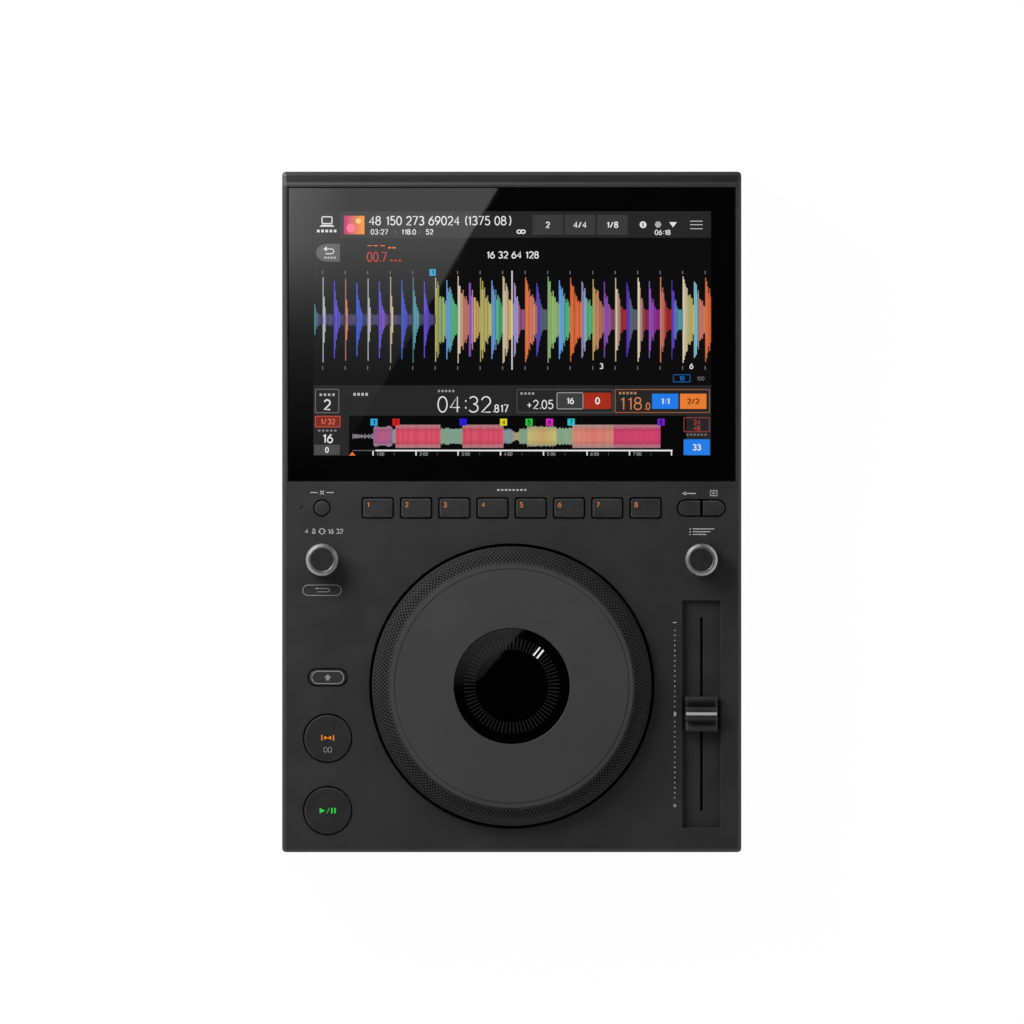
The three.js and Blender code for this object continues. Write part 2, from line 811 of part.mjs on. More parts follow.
// A button: a cap with a broken edge, a flange that stops it under the deck, and a stem
function pressButton(capPoints, crownPoints, flangePoints) {
  const body = slab(capPoints, flangeBottom, deckHeight + capRise - capEdge);
  const crown = slab(crownPoints, deckHeight, deckHeight + capRise);
  const flange = slab(flangePoints, flangeBottom, flangeTop);
  const stem = slab(circle(stemRadius, smallSteps / 2), stemBottom, deckUnder);
  return join(body, crown, flange, stem);
}

function pad() {
  const bottom = sheetTop + padTravel + seat;
  const cap = slab(roundedBox(padWidth, padLength, padCorner), bottom, deckHeight + padRise - capEdge);
  const crown = slab(
    roundedBox(padWidth - 2 * capEdge, padLength - 2 * capEdge, padCorner - capEdge),
    deckHeight,
    deckHeight + padRise,
  );
  const flange = post(0, 0, padWidth + flangeGrowth, padLength + flangeGrowth, bottom, flangeTop);
  return join(cap, crown, flange);
}

function roundButton(radius, steps) {
  return pressButton(
    circle(radius, steps),
    circle(radius - capEdge, steps),
    circle(radius + flangeGrowth / 2, steps),
  );
}

function capsuleButton(width, length, x = 0) {
  return pressButton(
    capsule(width, length, x),
    capsule(width - 2 * capEdge, length - 2 * capEdge, x),
    capsule(width + flangeGrowth, length + flangeGrowth, x),
  );
}

// Half of the button pair, round at its outer end and square at the split
function halfButton(side) {
  const whole = capsuleButton(pairWidth, pairLength, -side * pairShift);
  const middle = -side * (pairHalf / 2 + pairWidth);
  return cut(whole, post(middle, 0, 2 * pairWidth, 2 * pairWidth, 0, 2 * deckHeight));
}

function addButtons() {
  padPlaces.forEach((x, index) => {
    addPiece(player, "pad_" + (index + 1), pad(), "cap", [x, padY, 0]);
  });
  addPiece(player, "delete_button", roundButton(deleteRadius, mediumSteps), "cap", [-columnX, padY, 0]);
  addPiece(player, "back_button", halfButton(-1), "cap", [columnX - pairShift, padY, 0]);
  addPiece(player, "tag_button", halfButton(1), "cap", [columnX + pairShift, padY, 0]);
  addPiece(player, "shift_button", capsuleButton(shiftWidth, shiftLength), "cap", [transportX, shiftY, 0]);
  addPiece(player, "cue_button", roundButton(transportRadius, roundSteps), "cap", [transportX, cueY, 0]);
  addPiece(player, "play_button", roundButton(transportRadius, roundSteps), "cap", [transportX, playY, 0]);
  const indicator = slab(circle(indicatorRadius, smallSteps / 2), deckHeight - indicatorLength, deckHeight);
  addPiece(player, "status_indicator", indicator, "glass", [-columnX - indicatorOffset, padY, 0]);
}

// Push-turn knobs: a fixed encoder, a sprung plunger in it, and the shaft and knob that turn
const knobUnder = knobTravel + seat;
const encoderUnder = boardTop + seat - deckHeight;
const encoderTop = encoderUnder + encoderHeight;
const plungerUnder = encoderUnder + encoderFloor + knobTravel + seat;
const shaftUnder = plungerUnder + plungerFloor + shaftGap;
const plungerBore = shaftRadius + shaftGap;
const plungerRadius = plungerBore + plungerWall;

function encoder() {
  const body = post(0, 0, encoderWidth, encoderWidth, encoderUnder, encoderTop);
  const boreRadius = plungerRadius + shaftGap;
  const bore = slab(circle(boreRadius, smallSteps), encoderUnder + encoderFloor, encoderTop + over);
  return cut(body, bore);
}

function plunger() {
  const top = flangeTop - deckHeight;
  const profile = [
    [0, plungerUnder],
    [plungerRadius, plungerUnder],
    [plungerRadius, top],
    [plungerBore, top],
    [plungerBore, plungerUnder + plungerFloor],
    [0, plungerUnder + plungerFloor],
  ];
  return turned(profile, smallSteps);
}

function knob() {
  const boreTop = knobUnder + knobBoreDepth;
  const shoulder = knobHeight - knobBevelDrop;
  const rim = knobRadius - knobBevelWidth;
  const profile = [
    [0, boreTop],
    [shaftRadius + shaftGap, boreTop],
    [shaftRadius + shaftGap, knobUnder],
    [knobRadius, knobUnder],
    [knobRadius, shoulder],
    [rim, knobHeight],
    [rim - knobRimWidth, knobHeight],
    [rim - knobRimWidth, knobHeight - knobDish],
    [0, knobHeight - knobDish],
  ];
  return turned(profile, roundSteps);
}

function addKnobs() {
  [["loop", -columnX], ["browse", columnX]].forEach(([name, x]) => {
    const place = addGroup(player, x, knobY, deckHeight);
    const shaft = slab(circle(shaftRadius, smallSteps), shaftUnder, knobUnder + knobBoreDepth - shaftGap);
    addPiece(place, name + "_encoder", encoder(), "black");
    addPiece(place, name + "_plunger", plunger(), "steel");
    addPiece(place, name + "_shaft", shaft, "steel");
    addPiece(place, name + "_knob", knob(), "knob");
  });
}

// Tempo fader: a sunk plate with a slot, the track under it, and the lever with its cap
function faderCapShape() {
  const halfLength = faderCapLength / 2;
  const profileShares = [
    [-1, 0],
    [1, 0],
    [1, 0.62],
    [0.93, 0.8],
    [0.76, 0.8],
    [0.42, 0.5],
    [0.36, 0.5],
    [0.33, 1],
    [-0.33, 1],
    [-0.36, 0.5],
    [-0.48, 0.5],
    [-0.84, 0.72],
    [-0.95, 0.72],
    [-1, 0.62],
  ];
  const outline = (drop) =>
    profileShares.map(([along, up]) => [along * halfLength, up > 0 ? up * faderCapHeight - drop : 0]);
  const side = faderCapWidth / 2;
  return loftAcross([
    { x: -side, outline: outline(faderCapEdge) },
    { x: -side + faderCapEdge, outline: outline(0) },
    { x: side - faderCapEdge, outline: outline(0) },
    { x: side, outline: outline(faderCapEdge) },
  ]);
}

function addFader() {
  const plateBottom = faderPlateTop - faderPlateThickness;
  const trackTop = plateBottom - seat;
  const trackBottom = trackTop - faderBodyHeight;
  const capBottom = faderPlateTop + faderCapLift;
  const leverTop = capBottom + leverSocket - seat;
  const leverBottom = trackTop - leverReach;
  const place = addGroup(player, columnX, faderY, 0);
  const slotBetween = (bottom, top) => post(0, 0, faderSlotWidth, faderSlotLength, bottom, top);
  const plateWidth = faderRecessWidth + 2 * faderPlateBorder;
  const plateLength = faderRecessLength + 2 * faderPlateBorder;
  const plate = post(0, 0, plateWidth, plateLength, plateBottom, faderPlateTop);
  addPiece(place, "fader_plate", cut(plate, slotBetween(plateBottom - over, faderPlateTop + over)), "case");
  const track = post(0, 0, faderBodyWidth, faderSlotLength + 2 * faderBodyEnd, trackBottom, trackTop);
  addPiece(place, "fader_track", cut(track, slotBetween(leverBottom - seat, trackTop + over)), "black");
  const lever = post(0, 0, leverThickness, leverLength, leverBottom, leverTop);
  addPiece(place, "fader_lever", lever, "steel");
  const socket = post(0, 0, leverThickness + 2 * seat, leverLength + 2 * seat, -over, leverSocket);
  addPiece(place, "fader_cap", cut(faderCapShape(), socket), "cap", [0, 0, capBottom]);
}

// Boards under the deck, with the switches that the buttons press
function switchBlock(x, y) {
  return post(x, y, switchWidth, switchWidth, boardTop - boardThickness / 2, boardTop + switchHeight);
}

function controlBoard() {
  const side = columnX + controlBoardSide;
  const sheet = block(
    [-side, knobY - controlBoardFront, boardTop - boardThickness],
    [side, padY + controlBoardRear, boardTop],
  );
  const round = circle(baseRadius + boardNotchGap, hiddenSteps, 0, jogY);
  const notch = slab(round, boardTop - boardThickness - over, boardTop + over);
  const switches = [-columnX, columnX - pairShift, columnX + pairShift].map((x) => switchBlock(x, padY));
  return join(cut(sheet, notch), ...switches);
}

function transportBoard() {
  const side = buttonHole + transportBoardMargin;
  const sheet = block(
    [transportX - side, playY - side, boardTop - boardThickness],
    [transportX + side, shiftY + shiftLength, boardTop],
  );
  return join(sheet, ...[shiftY, cueY, playY].map((y) => switchBlock(transportX, y)));
}

function addBoards() {
  addPiece(player, "control_board", controlBoard(), "board");
  addPiece(player, "transport_board", transportBoard(), "board");
  const sheetWidth = (padCount - 1) * padPitch + padWidth + 2 * sheetMargin;
  const sheetLength = padLength + 2 * sheetMargin;
  const sheet = post(0, padY, sheetWidth, sheetLength, boardTop + seat, sheetTop);
  addPiece(player, "pad_sheet", sheet, "rubber");
  const board = block(
    [mainBoardLeft, mainBoardFrontY, mainBoardHeight - boardThickness],
    [mainBoardRight, mainBoardRearY, mainBoardHeight],
  );
  addPiece(player, "main_board", board, "board");
  const supplyTop = trayFloor + seat + supplyHeight;
  const supply = post(0, 0, supplyWidth, supplyLength, trayFloor + seat, supplyTop);
  const slotPitch = (supplyLength - 2 * supplySlotMargin) / supplySlots;
  const slotLength = supplyWidth - 2 * supplySlotMargin;
  const slots = Array.from({ length: supplySlots }, (_, index) => {
    const y = (index - (supplySlots - 1) / 2) * slotPitch;
    return post(0, y, slotLength, supplySlotWidth, supplyTop - supplySlotWidth, supplyTop + over);
  });
  addPiece(player, "power_supply", cut(supply, ...slots), "shell", [supplyX, -supplyOffsetY, 0]);
}

// Rear sockets: x across, y out of the tub, z from the main board up
const onBoard = mainBoardHeight + seat;
const tubMiddleZ = seamHeight + tubHeight / 2;
const powerAxisZ = onBoard + powerSwitch.height / 2;

function boxSocket(size, hollow, tongue) {
  const side = size.width / 2;
  const shell = block([-side, socketProud - size.depth, 0], [side, socketProud, size.height]);
  const middle = size.height / 2;
  const hole = block(
    [-hollow.width / 2, socketProud - hollow.depth, middle - hollow.height / 2],
    [hollow.width / 2, socketProud + over, middle + hollow.height / 2],
  );
  const empty = cut(shell, hole);
  if (!tongue) {
    return empty;
  }
  const bar = block(
    [-tongue.width / 2, socketProud - hollow.depth - over, middle - tongue.height / 2],
    [tongue.width / 2, socketProud - hollow.depth + tongue.depth, middle + tongue.height / 2],
  );
  return join(empty, bar);
}

// Round phono socket: a block behind the tub's wall, a collar and a barrel with a bore
function phonoSocket() {
  const barrelEnd = phonoBarrelLength;
  const backReach = -tubWall - seat;
  const profile = [
    [0, backReach - phonoCollarThickness],
    [phonoBarrelRadius, backReach - phonoCollarThickness],
    [phonoBarrelRadius, seat],
    [phonoCollarRadius, seat],
    [phonoCollarRadius, seat + phonoCollarThickness],
    [phonoBarrelRadius, seat + phonoCollarThickness],
    [phonoBarrelRadius, barrelEnd],
    [phonoBoreRadius, barrelEnd],
    [phonoBoreRadius, barrelEnd - phonoBoreDepth],
    [0, barrelEnd - phonoBoreDepth],
  ];
  const middle = phonoBlock.height / 2;
  const barrel = turned(profile, smallSteps).rotateX(-Math.PI / 2).translate(0, 0, middle);
  const body = block(
    [-phonoBlock.width / 2, backReach - phonoBlock.depth, 0],
    [phonoBlock.width / 2, backReach, phonoBlock.height],
  );
  return join(barrel, body);
}

// Mains inlet: a flange on the tub, a body through it, and three blades in the hollow
function powerInlet() {
  const halfWide = inletWidth / 2;
  const halfHigh = inletHeight / 2;
  const body = block([-halfWide, -inletDepth, -halfHigh], [halfWide, seat + inletFlangeThickness, halfHigh]);
  const flange = block(
    [-halfWide - inletFlange, seat, -halfHigh - inletFlange],
    [halfWide + inletFlange, seat + inletFlangeThickness, halfHigh + inletFlange],
  );
  const mouth = seat + inletFlangeThickness;
  const floor = mouth - inletHollowDepth;
  const hollow = block(
    [-inletHollowWidth / 2, floor, -inletHollowHeight / 2],
    [inletHollowWidth / 2, mouth + over, inletHollowHeight / 2],
  );
  const blades = [-1, 0, 1].map((side) => {
    const z = side === 0 ? -pinOffset : pinOffset;
    const x = side * pinSpacing;
    return block(
      [x - pinWidth / 2, floor - over, z - pinHeight / 2],
      [x + pinWidth / 2, floor + pinLength, z + pinHeight / 2],
    );
  });
  return join(cut(join(body, flange), hollow), ...blades);
}

// Hole in the tub's wall for something that stands on the main board
function wallHole(x, width, height, bottom) {
  return block(
    [x - width / 2 - seat, socketBackY - over, bottom - seat],
    [x + width / 2 + seat, socketY + over, bottom + height + seat],
  );
}

const phonoPlaces = [
  ["digital_out", digitalX],
  ["audio_out_right", audioRightX],
  ["audio_out_left", audioLeftX],
];
const portPlaces = [
  ["network_port", networkX, networkSize, networkHollow, null],
  ["host_port", hostPortX, hostSize, hostHollow, hostTongue],
  ["device_port", devicePortX, deviceSize, deviceHollow, deviceTongue],
];

function rearTub() {
  const outside = block(
    [-tubWidth / 2, socketBackY, seamHeight],
    [tubWidth / 2, tubFaceY, seamHeight + tubHeight],
  );
  const inside = block(
    [-tubWidth / 2 + tubWall, socketY, seamHeight + tubWall],
    [tubWidth / 2 - tubWall, tubFaceY + over, seamHeight + tubHeight - tubWall],
  );
  const holes = portPlaces.map(([, x, size]) => wallHole(x, size.width, size.height, onBoard));
  phonoPlaces.forEach(([, x]) => {
    const round = slab(circle(phonoBarrelRadius + seat, smallSteps), -over, tubWall + over);
    round.rotateX(-Math.PI / 2).translate(x, socketBackY, onBoard + phonoBlock.height / 2);
    holes.push(round);
  });
  holes.push(wallHole(inletX, inletWidth, inletHeight, tubMiddleZ - inletHeight / 2));
  holes.push(wallHole(powerX, powerCapWidth, powerCapHeight, powerAxisZ - powerCapHeight / 2));
  holes.push(wallHole(lockX, lockWidth, lockHeight, tubMiddleZ - lockHeight / 2));
  return cut(outside, inside, ...holes);
}

// Push button for the power, with a flange behind the tub's wall
function powerButton() {
  const behind = -tubWall - seat;
  const halfWide = powerCapWidth / 2;
  const halfHigh = powerCapHeight / 2;
  const cap = block([-halfWide, behind - powerCapBehind, -halfHigh], [halfWide, powerCapProud, halfHigh]);
  const flange = block(
    [-halfWide - seat - powerFlange, behind - powerCapBehind, -halfHigh - seat - powerFlange],
    [halfWide + seat + powerFlange, behind, halfHigh + seat + powerFlange],
  );
  return join(cap, flange);
}

function addRear() {
  addPiece(player, "rear_tub", rearTub(), "tray");
  addPiece(player, "power_inlet", powerInlet(), "black", [inletX, socketY, tubMiddleZ]);
  phonoPlaces.forEach(([name, x]) => {
    addPiece(player, name, phonoSocket(), "black", [x, socketY, onBoard]);
  });
  portPlaces.forEach(([name, x, size, hollow, tongue]) => {
    addPiece(player, name, boxSocket(size, hollow, tongue), "shell", [x, socketY, onBoard]);
  });
  addPiece(player, "power_button", powerButton(), "cap", [powerX, socketY, powerAxisZ]);
  const switchFront = socketBackY - seat - powerCapBehind - powerTravel - seat;
  const switchBody = block(
    [-powerSwitch.width / 2, -powerSwitch.depth, 0],
    [powerSwitch.width / 2, 0, powerSwitch.height],
  );
  addPiece(player, "power_switch", switchBody, "black", [powerX, switchFront, onBoard]);
}

addCase();
addDisplay();
addWheel();
addButtons();
addKnobs();
addFader();
addBoards();
addRear();

export default player;
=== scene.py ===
# %% [markdown]
# # A tabletop media player, dressed for its portrait
#
# The player is a flat deck with a big turning wheel in front and a tilted touch display behind.
# Its solids come from a CAD program and stay where they are. This lesson gives them soft edges
# and real finishes, and adds what is too fine for the solids: the grip of the wheel, the printed
# marks, the picture on the display, contacts and screws.
#
# The first step loads the CAD model as a fixed frame. Everything is in metres, with X to the
# right, Y to the rear and Z up, and the player stands on the plane Z = 0.

# %% Load the CAD frame
import math
import random

import bpy
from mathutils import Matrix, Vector


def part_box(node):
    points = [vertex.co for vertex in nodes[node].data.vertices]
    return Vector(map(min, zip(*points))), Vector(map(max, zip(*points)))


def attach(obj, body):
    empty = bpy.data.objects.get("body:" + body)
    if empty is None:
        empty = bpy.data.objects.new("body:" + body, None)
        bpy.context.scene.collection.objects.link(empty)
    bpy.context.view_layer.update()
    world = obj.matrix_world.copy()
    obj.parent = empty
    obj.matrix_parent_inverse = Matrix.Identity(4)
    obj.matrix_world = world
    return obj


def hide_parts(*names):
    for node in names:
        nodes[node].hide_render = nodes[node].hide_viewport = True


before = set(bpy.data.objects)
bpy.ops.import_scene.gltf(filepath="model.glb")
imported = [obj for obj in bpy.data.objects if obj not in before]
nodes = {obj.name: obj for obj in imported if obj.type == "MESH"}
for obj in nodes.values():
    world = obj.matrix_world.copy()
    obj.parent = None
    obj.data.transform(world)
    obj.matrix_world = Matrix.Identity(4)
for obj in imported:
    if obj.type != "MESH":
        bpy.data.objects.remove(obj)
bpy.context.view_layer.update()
MM = 0.001

# %% [markdown]
# Sizes are easier to read in millimetres, so the lesson works in millimetres and turns them into
# metres when a mesh is made. The places of the solids are read from the frame, so that each new
# piece sits on the solid that carries it. Only the height of the flat deck is written down,
# because the case that has it is higher at the rear.

# %% Places read from the frame
def box_mm(node):
    """Low corner, high corner and middle of a CAD solid, in millimetres."""
    low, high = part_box(node)
    return low / MM, high / MM, (low + high) / (2 * MM)


wheel_middle = box_mm("jog_ring")[2]
WHEEL = (wheel_middle.x, wheel_middle.y)
DECK = 62.0
print("wheel centre", [round(v, 2) for v in WHEEL], "height of the flat deck", DECK)

# %% [markdown]
# ## Tools for making meshes
#
# A flat outline is a list of corner points. Rectangles, round corners and discs cover nearly
# everything that is printed on the deck or drawn on the display. They could be made by hand in
# Edit Mode, but a function keeps forty of them alike.

# %% Outlines
def rect(x0, y0, x1, y1):
    return [(x0, y0), (x1, y0), (x1, y1), (x0, y1)]


def arc(x, y, radius, start, end, steps):
    """Points on an arc from one angle to another, in degrees."""
    angles = [math.radians(start + (end - start) * i / steps) for i in range(steps + 1)]
    return [(x + radius * math.cos(a), y + radius * math.sin(a)) for a in angles]


def disc(x, y, radius, steps=24):
    return arc(x, y, radius, 0, 360, steps)[:-1]


def rounded(x, y, width, height, radius, steps=5):
    """A rectangle with round corners about a middle point."""
    points = []
    for side_x, side_y, start in ((1, 1, 0), (-1, 1, 90), (-1, -1, 180), (1, -1, 270)):
        corner_x = x + side_x * (width / 2 - radius)
        corner_y = y + side_y * (height / 2 - radius)
        points += arc(corner_x, corner_y, radius, start, start + 90, steps)
    return points


def signed_area(points):
    pairs = zip(points, points[1:] + points[:1])
    return sum(a[0] * b[1] - b[0] * a[1] for a, b in pairs) / 2


print("area of a disc of radius 1:", round(signed_area(disc(0, 0, 1)), 3))


# %% [markdown]
# A piece is collected as points and faces before Blender sees it. Three shapes are enough: a
# prism raised from an outline, a ribbon that follows a line, and a lathe that turns a profile
# about an upright axis. Each is a closed solid with its faces pointing out, however thin it is.

# %% A collector for one piece
PLAIN = (1.0, 1.0, 1.0)


def new_object(name, points, faces, material):
    """A mesh object in the scene, from points in millimetres."""
    mesh = bpy.data.meshes.new(name)
    mesh.from_pydata([[value * MM for value in point] for point in points], [], faces)
    mesh.materials.append(material)
    made = bpy.data.objects.new(name, mesh)
    bpy.context.scene.collection.objects.link(made)
    return made


class Build:
    """Points in millimetres and faces of one piece, each face with a tint."""

    def __init__(self, place=None):
        self.points, self.faces, self.tints = [], [], []
        self.place = place or (lambda x, y, z: (x, y, z))

    def add(self, points, faces, tint=PLAIN):
        first = len(self.points)
        self.points += [self.place(*point) for point in points]
        self.faces += [[first + corner for corner in face] for face in faces]
        self.tints += [tint] * len(faces)

    def prism(self, outline, low, high, tint=PLAIN):
        """A flat outline raised from one height to another."""
        outline = outline if signed_area(outline) > 0 else outline[::-1]
        count = len(outline)
        points = [(x, y, low) for x, y in outline] + [(x, y, high) for x, y in outline]
        faces = [list(range(count))[::-1], list(range(count, 2 * count))]
        for i in range(count):
            j = (i + 1) % count
            faces.append([i, j, count + j, count + i])
        self.add(points, faces, tint)

    def ribbon(self, line, width, low, high, tint=PLAIN, closed=False):
        """A flat band along a line, with mitred corners that never reach far out."""
        count = len(line)
        left, right = [], []
        for i, (x, y) in enumerate(line):
            before = line[i - 1] if closed or i > 0 else (x, y)
            after = line[(i + 1) % count] if closed or i + 1 < count else (x, y)
            along = Vector((after[0] - before[0], after[1] - before[1])).normalized()
            step = Vector((x - before[0], y - before[1]))
            step = step.normalized() if step.length > 0 else along
            stretch = 1 / max(0.8, abs(step.dot(along)))
            aside = Vector((-along.y, along.x)) * width / 2 * stretch
            left.append((x + aside.x, y + aside.y))
            right.append((x - aside.x, y - aside.y))
        points = [(x, y, z) for z in (low, high) for side in (left, right) for x, y in side]
        l0, r0, l1, r1 = 0, count, 2 * count, 3 * count
        faces = []
        for i in range(count if closed else count - 1):
            j = (i + 1) % count
            faces.append([l1 + i, r1 + i, r1 + j, l1 + j])
            faces.append([l0 + j, r0 + j, r0 + i, l0 + i])
            faces.append([l0 + i, l1 + i, l1 + j, l0 + j])
            faces.append([r0 + j, r1 + j, r1 + i, r0 + i])
        if not closed:
            end = count - 1
            faces.append([l0, r0, r1, l1])
            faces.append([l0 + end, l1 + end, r1 + end, r0 + end])
        self.add(points, faces, tint)

    def lathe(self, profile, steps, centre=(0.0, 0.0), ring=False, shift=None):
        """Turns (radius, height) points, anticlockwise, about an upright axis."""
        rows, points, faces = [], [], []
        for row, (radius, height) in enumerate(profile):
            if radius < 1e-6:
                rows.append([len(points)] * steps)
                points.append((centre[0], centre[1], height))
                continue
            rows.append(list(range(len(points), len(points) + steps)))
            for step in range(steps):
                angle = 2 * math.pi * step / steps
                out, up = shift(row, step) if shift else (0.0, 0.0)
                reach = radius + out
                x, y = centre[0] + reach * math.cos(angle), centre[1] + reach * math.sin(angle)
                points.append((x, y, height + up))
        last = len(profile) if ring else len(profile) - 1
        for row in range(last):
            lower, upper = rows[row], rows[(row + 1) % len(profile)]
            for step in range(steps):
                following = (step + 1) % steps
                face = [lower[step], lower[following], upper[following], upper[step]]
                faces.append(list(dict.fromkeys(face)))
        self.add(points, faces)

    def piece(self, name, material, body, slot_name=None):
        """Makes the Blender object and lets it ride on a CAD body."""
        made = new_object(name, self.points, self.faces, material)
        tint = made.data.color_attributes.new("tint", "FLOAT_COLOR", "CORNER")
        colours = []
        for face, colour in zip(self.faces, self.tints):
            colours += [*colour, 1.0] * len(face)
        tint.data.foreach_set("color", colours)
        soften(made)
        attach(made, body)
        return made


# %% [markdown]
# ## Soft edges
#
# Nothing that is moulded has a razor edge: a thin line of light on every edge is what makes a
# plastic part look real. The edges could be rounded in each mesh, but modifiers do it without
# touching the CAD meshes. Weld joins the split corners, Decimate merges flat triangles, Bevel
# rounds what is left, and a small node group decides which edges are shaded sharp.

# %% Modifiers that round and shade
SMOOTH_BELOW = 32.0
BEVEL_ABOVE = 20.0


def shading_group(name, first):
    """A Geometry Nodes group: drops imported normals at first, or shades by angle at last."""
    group = bpy.data.node_groups.new(name, "GeometryNodeTree")
    for side in ("INPUT", "OUTPUT"):
        group.interface.new_socket("Geometry", in_out=side, socket_type="NodeSocketGeometry")
    start, end = group.nodes.new("NodeGroupInput"), group.nodes.new("NodeGroupOutput")
    flow = start.outputs[0]
    if first:
        for attribute in ("custom_normal", "sharp_edge"):
            drop = group.nodes.new("GeometryNodeRemoveAttribute")
            drop.inputs["Name"].default_value = attribute
            group.links.new(flow, drop.inputs["Geometry"])
            flow = drop.outputs["Geometry"]
    else:
        turn = group.nodes.new("GeometryNodeInputMeshEdgeAngle")
        compare = group.nodes.new("FunctionNodeCompare")
        compare.inputs["B"].default_value = math.radians(SMOOTH_BELOW)
        group.links.new(turn.outputs["Unsigned Angle"], compare.inputs["A"])
        for domain, smooth in (("FACE", True), ("EDGE", False)):
            shade = group.nodes.new("GeometryNodeSetShadeSmooth")
            shade.domain = domain
            shade.inputs["Shade Smooth"].default_value = smooth
            if domain == "EDGE":
                group.links.new(compare.outputs["Result"], shade.inputs["Selection"])
            group.links.new(flow, shade.inputs["Geometry"])
            flow = shade.outputs["Geometry"]
    group.links.new(flow, end.inputs[0])
    return group


forget_normals = shading_group("forget_normals", True)
shade_by_angle = shading_group("shade_by_angle", False)


def soften(target, width=0.0, clamp=True, flat_within=0.0):
    """Rounds the edges of a piece by a width in millimetres, and shades it by angle.

    Triangles that lie within an angle, in degrees, of each other are merged first.
    """
    if width > 0:
        target.modifiers.new("forget", "NODES").node_group = forget_normals
        target.modifiers.new("weld", "WELD").merge_threshold = 0.002 * MM
        flat = target.modifiers.new("flat", "DECIMATE")
        flat.decimate_type = "DISSOLVE"
        flat.angle_limit = math.radians(flat_within)
        edge = target.modifiers.new("edge", "BEVEL")
        edge.width = width * MM
        edge.segments = 3
        edge.limit_method = "ANGLE"
        edge.angle_limit = math.radians(BEVEL_ABOVE)
        edge.use_clamp_overlap = clamp
    target.modifiers.new("shade", "NODES").node_group = shade_by_angle
    flat_normals = target.modifiers.new("flat_normals", "WEIGHTED_NORMAL")
    flat_normals.keep_sharp = True


# %% [markdown]
# ## Finishes
#
# Each finish is a small node tree. Most of them are a moulded or painted surface: a base colour
# that wanders a little, a fine grain in the bump, a roughness that follows the same noise, and a
# slightly paler line where hands and transport have rubbed the edges. One function makes the
# family, and each member is a handful of numbers.

# %% A helper that writes node trees
class Finish:
    """A material, or a world, whose nodes are added one by one."""

    def __init__(self, name, owners=bpy.data.materials):
        self.owner = owners.new(name)
        self.owner.use_nodes = True
        self.tree = self.owner.node_tree
        self.tree.nodes.clear()

    def add(self, kind, settings=None, **inputs):
        node = self.tree.nodes.new("ShaderNode" + kind)
        for key, value in (settings or {}).items():
            setattr(node, key, value)
        for key, value in inputs.items():
            socket = node.inputs[key.replace("_", " ")]
            if isinstance(value, bpy.types.NodeSocket):
                self.tree.links.new(value, socket)
            else:
                socket.default_value = value
        return node

    def maths(self, operation, first, second=0.0, third=0.0):
        node = self.add("Math", {"operation": operation})
        for socket, value in zip(node.inputs, (first, second, third)):
            if isinstance(value, bpy.types.NodeSocket):
                self.tree.links.new(value, socket)
            else:
                socket.default_value = value
        return node.outputs[0]

    def place(self, kind="Object"):
        return self.add("TexCoord").outputs[kind]

    def noise(self, size, detail=3.0, where=None):
        """Noise whose blotches are about this many millimetres across."""
        where = where or self.place()
        texture = self.add("TexNoise", Vector=where, Scale=1 / (size * MM), Detail=detail)
        return texture.outputs["Fac"]

    def spread(self, value, low, high, start=0.3, end=0.7):
        node = self.add("MapRange", Value=value, From_Min=start, From_Max=end)
        node.inputs["To Min"].default_value = low
        node.inputs["To Max"].default_value = high
        return node.outputs["Result"]

    def mix(self, amount, first, second, blend="MIX"):
        settings = {"blend_type": blend}
        return self.add("MixRGB", settings, Fac=amount, Color1=first, Color2=second).outputs["Color"]

    def times(self, first, second):
        return self.mix(1.0, first, second, "MULTIPLY")

    def greys(self, value, stops):
        """A ramp of greys; each stop is a position and a level."""
        node = self.add("ValToRGB", Fac=value)
        elements = node.color_ramp.elements
        while len(elements) < len(stops):
            elements.new(0.5)
        for element, (position, level) in zip(elements, stops):
            element.position = position
            element.color = (level, level, level, 1.0)
        return node.outputs["Color"]

    def edges(self, radius, strength):
        """High where the surface turns sharply within the radius, in millimetres."""
        bevel = self.add("Bevel", {"samples": 2}, Radius=radius * MM)
        normal = self.add("NewGeometry").outputs["Normal"]
        dot = self.add("VectorMath", {"operation": "DOT_PRODUCT"})
        self.tree.links.new(bevel.outputs["Normal"], dot.inputs[0])
        self.tree.links.new(normal, dot.inputs[1])
        return self.spread(dot.outputs["Value"], strength, 0.0, 0.86, 0.995)

    def end(self, shader, kind="OutputMaterial"):
        self.add(kind, Surface=shader.outputs[0])
        return self.owner


def grey(level):
    """A linear grey from a display level of 0 to 255."""
    return colour(level, level, level)


def colour(red, green, blue):
    """A linear colour from display levels of 0 to 255."""
    linear = []
    for level in (red, green, blue):
        share = level / 255
        linear.append(share / 12.92 if share <= 0.04045 else ((share + 0.055) / 1.055) ** 2.4)
    return (*linear, 1.0)


# %% [markdown]
# The real player is mostly black moulded plastic, with a painted metal tray and a few plated
# parts. Each could have its own tree, but they differ only in tone, grain and gloss, so one
# function with numbers keeps them related. Its colours are display levels read off the
# photograph, turned into linear light.

# %% The family of moulded and painted finishes
# A factor that darkens the case behind its rear ridge: painted shade on the rear strip.
PAINTED_REAR_SHADE = (0.44, 0.44, 0.45, 1.0)


